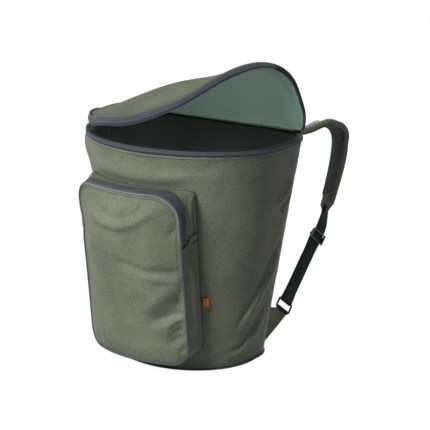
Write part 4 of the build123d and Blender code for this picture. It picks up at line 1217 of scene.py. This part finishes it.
def spline(points, startWay, endWay, count, steps=600):  # smooth curve through points
    points = np.asarray(points, float)
    knots = lengths(points)
    n = len(points)
    step = np.diff(knots)
    matrix, right = np.zeros((n, n)), np.zeros((n, 3))
    matrix[0, 0] = matrix[-1, -1] = 1.0
    right[0], right[-1] = unit(startWay), unit(endWay)
    for k in range(1, n - 1):
        matrix[k, k - 1:k + 2] = [1 / step[k - 1], 2 / step[k - 1] + 2 / step[k], 1 / step[k]]
        before, after = points[k] - points[k - 1], points[k + 1] - points[k]
        right[k] = 3 * before / step[k - 1] ** 2 + 3 * after / step[k] ** 2
    slope = np.linalg.solve(matrix, right)
    at = np.linspace(0, knots[-1], steps)
    k = np.clip(np.searchsorted(knots, at, side="right") - 1, 0, n - 2)
    h = step[k][:, None]
    t = ((at - knots[k]) / step[k])[:, None]
    fine = ((2 * t ** 3 - 3 * t ** 2 + 1) * points[k] + (t ** 3 - 2 * t ** 2 + t) * h * slope[k]
            + (3 * t ** 2 - 2 * t ** 3) * points[k + 1] + (t ** 3 - t ** 2) * h * slope[k + 1])
    return resample(fine, fine, np.linspace(0, lengths(fine)[-1], count))


def strapFrame(along, twist):
    side = unit(np.array([1.0, 0, 0]) - along * along[:, :1])
    inner = np.cross(along, side)
    cos, sin = np.cos(twist)[:, None], np.sin(twist)[:, None]
    return side * cos + inner * sin, inner * cos - side * sin


def mirrored(values, sign):
    return np.asarray(values, float) * [sign, 1, 1]


def sided(sign, name, centres, axisA, axisB, profile, material):  # sweep, or its mirror on the left
    turned = np.asarray(profile)[..., ::sign, :]
    return sweep(name, *[mirrored(v, sign) for v in (centres, axisA, axisB)], turned, material)


def padShape():  # middle line of the pad and its tip, with its frame, half width and half thickness
    spec = strapSpec
    path = spline(spec["points"], spec["startWay"], spec["endWay"], spec["stations"])
    share = np.linspace(0, 1, spec["stations"])
    twist = np.zeros(len(share))
    for (start, first), (end, last) in zip(spec["turns"], spec["turns"][1:]):
        twist = twist + climb(share, math.radians(last - first), start, end - start)
    narrowing = smooth((share - spec["narrowFrom"]) / (1 - spec["narrowFrom"]))
    half = mix(spec["wide"], spec["narrow"], narrowing) / 2
    across, inner = strapFrame(tangents(path), twist)
    beyond = np.linspace(0, 1, spec["tipStations"] + 1)[1:]
    tip = path[-1] + unit(spec["endWay"]) * (spec["tip"] * beyond)[:, None]
    path = np.concatenate([path, tip])
    across, inner = [np.concatenate([way, np.tile(way[-1], (len(tip), 1))]) for way in (across, inner)]
    wideCurve, thickCurve = spec["tipCurves"]
    half = np.concatenate([half, mix(half[-1], spec["tipWide"] / 2, beyond ** wideCurve)])
    thick = np.full(len(share), spec["thick"])
    thick = np.concatenate([thick, mix(spec["thick"], spec["tipThick"], beyond ** thickCurve)])
    thin, count = spec["rootThin"]
    thick[:count] *= np.linspace(thin, 1.0, count)
    return path, across, inner, half, thick


def strapPad(sign, side):
    spec = strapSpec
    whole = padShape()
    path, across, inner, half, thick = whole
    turn = np.linspace(0, 2 * math.pi, spec["sides"], endpoint=False)
    boxy = pack(*[np.sign(v) * np.abs(v) ** spec["boxy"] for v in (np.cos(turn), np.sin(turn))])
    cover = boxy[None] * pack(half, thick)[:, None]
    # the pad's cover takes the paler strap cloth: painted light
    pad = sided(sign, "strapPad_" + side, path, across, inner, cover, litStrapCloth)
    pieces = [(pad, "shell_fabric", f"strap_{side}_cover", f"strap_{side}_foam")]

    path, across, inner, half, thick = [values[spec["meshFrom"]:spec["meshTo"]] for values in whole]
    u = np.linspace(-1, 1, spec["meshColumns"])
    face = []
    for w, t in zip(half - spec["meshInset"], thick):
        low = [(w * a, t - spec["meshDeep"]) for a in u]
        high = [(w * a, t - spec["meshEdge"] + spec["mesh"] * (1 - a ** spec["meshFall"])) for a in u[::-1]]
        face.append(low + high)
    mesh = sided(sign, "strapMesh_" + side, path, across, inner, face, meshCloth)
    pieces.append((mesh, "strap_mesh", f"strap_{side}_mesh"))
    for number, (place, radius) in enumerate(spec["lines"]):
        line = mirrored(path + across * (half * place)[:, None] + inner * thick[:, None], sign)
        name = f"strapBinding{number}_{side}"
        cord = cordAlong(name, line, radius, litStrapCloth, mirrored(inner, sign), sides=8)
        pieces.append((cord, "shell_fabric"))

    path, across, inner, half, thick = [values[spec["seamRun"]] for values in whole]
    rows = []
    for edge in (-1, 1):
        for place, level in spec["seams"]:
            row = path + across * (half * edge * place)[:, None] + inner * thick[:, None] * level
            outward = -inner if level < 0 else across * edge
            rows.append((mirrored(row, sign), mirrored(outward, sign)))
    pieces.append((rowOf("stitch", "strapStitches_" + side, rows, spec, threadDark), "piping"))
    for piece in pieces:
        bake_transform(finishPiece(*piece))


def webAxes():
    way = unit(webSpec["way"])
    bar = unit(np.cross(way, webSpec["facing"]))
    return np.array(webSpec["ringTop"]), way, bar, np.cross(bar, way)


def strapWebbing(sign, side):
    spec = webSpec
    top, way, bar, lift = webAxes()
    upperEnd = top + way * spec["long"] + lift * spec["layer"]
    upperStart = np.array(strapSpec["points"][-1]) + spec["padShift"]
    upper = spline([upperStart, upperEnd], strapSpec["endWay"], -way, spec["upper"])
    twist = mix(spec["rootTwist"], spec["endTwist"], smooth(np.linspace(0, 1, spec["upper"])))
    upperAcross, _ = strapFrame(tangents(upper), twist)
    upperAcross = upperAcross * np.sign(upperAcross[-1] @ bar)

    def ply(start, end, face):  # the two plies close up between ring and buckle
        up = np.linspace(start, end, spec["plies"])[:, None]
        near = np.minimum(up / spec["pinchRing"], np.abs(spec["buckle"] - up) / spec["pinchBuckle"])
        return top + way * up + face * lift * mix(spec["layer"], spec["pinch"], smooth(near))

    turn = np.linspace(0, math.pi, spec["bend"])[:, None]
    bend = top + spec["layer"] * (lift * np.cos(turn) - way * np.sin(turn))
    run = [ply(spec["long"] - spec["head"], spec["foot"], 1), bend, ply(spec["foot"], spec["tail"], -1)]
    path = np.concatenate([upper, *run])
    across = np.concatenate([upperAcross, np.tile(bar, (len(path) - len(upper), 1))])
    over = spec["easeOver"]
    eased = [across[max(k - over, 0):k + over + 1].mean(axis=0) for k in spec["eased"]]
    across[spec["eased"]] = unit(np.array(eased))
    axisB = unit(np.cross(tangents(path), across))
    strip = flatProfile(spec["width"], spec["thick"])
    obj = sided(sign, "strapWebbing_" + side, path, across, axisB, strip, webbingCloth)
    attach(finishPiece(obj, "webbing", f"strap_{side}_webbing"), "strap_" + side)


def footWedge(sign, side):
    spec = wedgeSpec
    top, way, bar, lift = webAxes()
    centre = top - way * spec["ring"]
    t = np.linspace(0, 1, spec["columns"])
    root = outline(2 + tubSpec["seam"], mix(spec["high"], spec["low"], t), spec["offWall"])
    edge = centre - way * spec["hem"]
    tip = edge + bar * mix(-spec["half"], spec["half"], t)[:, None]
    flat = mix(root, tip, np.linspace(0, 1, spec["rows"])[:, None, None])
    turn = np.linspace(0.0, spec["hemTurn"], spec["hemSteps"])[:, None, None]
    hem = tip - edge + centre + spec["hem"] * (lift * np.sin(turn) - way * np.cos(turn))
    middle = spec["columns"] // 2
    if gridNormals(flat)[spec["rows"] // 4, middle] @ np.array(spec["facing"]) < 0:
        flat, hem = flat[:, ::-1], hem[:, ::-1]
    high, waves = spec["sway"]
    sway = high * np.sin(np.linspace(0, math.pi, spec["rows"]))[:, None] * np.sin(waves * t)[None]
    flat = flat + gridNormals(flat) * sway[..., None]

    def ply(name, grid, material, slot, *nodes):
        sheets = [grid + gridNormals(grid) * k * spec["thick"] / 2 for k in (1, -1)]
        outer, inner = [mirrored(sheet, sign)[:, ::sign] for sheet in sheets]
        obj = finishPiece(shell(name + side, outer, material, inner), slot, *nodes)
        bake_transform(obj)
        return outer

    ply("footHem_", hem, webbingCloth, "webbing")
    # the wedge takes the paler strap cloth: painted light
    face = ply("footWedge_", flat, litStrapCloth, "shell_fabric", f"strap_{side}_wedge")
    normal = gridNormals(face)
    seam = face + normal * spec["seamOut"]
    lines = [(seam[1:-1, k], normal[1:-1, k]) for k in spec["seamColumns"]]
    lines += [(seam[k], normal[k]) for k in spec["seamRows"]]
    stitches = rowOf("stitch", "wedgeStitches_" + side, lines, strapSpec, threadDark)
    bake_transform(finishPiece(stitches, "piping"))


for sign, side in ((1, "right"), (-1, "left")):
    strapPad(sign, side)
    strapWebbing(sign, side)
    footWedge(sign, side)
print("shoulder straps")


# grab loop at the top of the back

loopSpec = {
    "middle": 3.5, "z": 0.4, "half": 0.0259, "out": 0.014, "tall": 0.02, "thick": 0.0021, "gap": 0.0006,
    "sideSteps": 8, "bendSteps": 25, "bendEnd": 0.014,
}


def grabLoop():
    spec = loopSpec
    low = outline(spec["middle"], spec["z"], spec["gap"])
    lean = unit([0.0, tubSpec["rim"][2] - tubSpec["base"][2], tubSpec["height"]])
    out = np.cross(lean, [1.0, 0, 0])
    half, reach = spec["half"], spec["out"]
    flat = [(half, k) for k in np.linspace(0, reach, spec["sideSteps"])[:-1]]
    bend = np.linspace(0, math.pi, spec["bendSteps"])
    flat += [(half * math.cos(a), reach + half * math.sin(a)) for a in bend]
    flat += [(-half, k) for k in np.linspace(reach, 0, spec["sideSteps"])[1:]]
    path = np.array([low + np.array([a, 0, 0]) + out * b for a, b in flat])
    up = np.tile(lean, (len(path), 1))
    strip = flatProfile(spec["tall"], spec["thick"])
    obj = sweep("grabLoop", path, up, np.cross(tangents(path), up), strip, webbingCloth)
    finishPiece(obj, "webbing", "grab_loop")
    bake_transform(obj)


grabLoop()
print("grab loop")


# CAD pieces that keep their shape, with their own finishes

keptFinishes = {
    "base_panel": shellCloth, "base_board": boardSheet, "pocket_slider": dullMetal, "lid_slider": dullMetal,
    "pocket_pull": pullMoulding, "lid_pull": pullMoulding, "strap_right_buckle": slateMoulding,
    "strap_left_buckle": slateMoulding, "strap_right_ring": slateMoulding, "strap_left_ring": slateMoulding,
}

for node, finish in keptFinishes.items():
    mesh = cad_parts[node].data
    mesh.materials.clear()
    mesh.materials.append(finish)
print("hardware finishes")


# floor, light and camera

stageSpec = {
    "floor": 4.0, "level": -0.0005, "floorTone": 0.4, "floorRough": 0.9, "ambient": 0.118, "glow": 1.22,
    "glowShare": 0.8,
}
lampSpec = {  # watts, size, place and target; the weakest stands in the tub and lights the lid's lining
    "key": (118.0, 0.9, (-0.34, -2.43, 2.28), (0.0, 0.0, 0.22)),
    "lidLamp": (0.58, 0.14, (0.03, -0.02, 0.15), (0.05, 0.0, 0.5)),
    "backLamp": (24.0, 0.9, (-0.8, 2.5, 0.6), (0.0, 0.0, 0.22)),
}


def seenDirectly(tree):
    seen = addNode(tree, "ShaderNodeLightPath").outputs
    direct = mathNode(tree, "MAXIMUM", seen["Is Camera Ray"], seen["Is Glossy Ray"])
    return mathNode(tree, "MAXIMUM", direct, seen["Is Transmission Ray"])


def buildStage():
    spec = stageSpec
    floorFinish = bpy.data.materials.new("paleFloor")
    floorFinish.use_nodes = True
    tree = floorFinish.node_tree
    shader = feed(tree, tree.nodes["Principled BSDF"], {
        "Base Color": (*[spec["floorTone"]] * 3, 1), "Roughness": spec["floorRough"]})
    glow = addNode(tree, "ShaderNodeEmission", {"Strength": spec["glow"]})
    share = mathNode(tree, "MULTIPLY", seenDirectly(tree), spec["glowShare"])
    blend = addNode(tree, "ShaderNodeMixShader", {0: share, 1: shader.outputs[0], 2: glow.outputs[0]})
    feed(tree, tree.nodes["Material Output"], {"Surface": blend.outputs[0]})
    square = [(0, 0), (1, 0), (1, 1), (0, 1)]
    corners = [(*[spec["floor"] * (2 * v - 1) for v in corner], spec["level"]) for corner in square]
    meshObject("floor", corners, [(0, 1, 2, 3)], square, floorFinish)
    world = bpy.data.worlds.new("studio")
    scene.world = world
    world.use_nodes = True
    tree = world.node_tree
    strength = mathNode(tree, "MULTIPLY_ADD", seenDirectly(tree), 1.0 - spec["ambient"], spec["ambient"])
    feed(tree, tree.nodes["Background"], {"Color": (1, 1, 1, 1), "Strength": strength})
    for name, (power, size, place, target) in lampSpec.items():
        lamp = bpy.data.lights.new(name, "AREA")
        lamp.energy = power
        lamp.size = size
        obj = addObject(name, lamp)
        obj.visible_camera = False
        obj.location = place
        obj.rotation_euler = (Vector(target) - obj.location).to_track_quat("-Z", "Y").to_euler()


cameraSpec = {
    "azimuth": 34.92, "elevation": 16.91, "distance": 3.0, "target": (0.0, 0.0, 0.21), "focal": 1584.3,
    "picture": 430.0, "sensor": 36.0, "targetPixel": (188.24, 241.54), "roll": -0.22,
}


def buildCamera():
    spec = cameraSpec
    turn, rise = math.radians(spec["azimuth"]), math.radians(spec["elevation"])
    back = Vector((math.sin(turn) * math.cos(rise), -math.cos(turn) * math.cos(rise), math.sin(rise)))
    right = Vector((math.cos(turn), math.sin(turn), 0))
    up = back.cross(right)
    middle = spec["picture"] / 2
    aside, above = middle - spec["targetPixel"][0], spec["targetPixel"][1] - middle
    look = (-back * spec["focal"] + right * aside + up * above).normalized()
    camera = bpy.data.cameras.new("camera")
    camera.sensor_width = spec["sensor"]
    camera.lens = spec["focal"] / spec["picture"] * spec["sensor"]
    obj = addObject("camera", camera)
    obj.location = Vector(spec["target"]) + back * spec["distance"]
    side = look.cross(up).normalized()
    lean = math.radians(spec["roll"])
    top = side.cross(look)
    side, top = side * math.cos(lean) + top * math.sin(lean), top * math.cos(lean) - side * math.sin(lean)
    obj.rotation_euler = Matrix((side, top, -look)).transposed().to_euler()
    scene.camera = obj


buildStage()
buildCamera()
print("stage and camera")
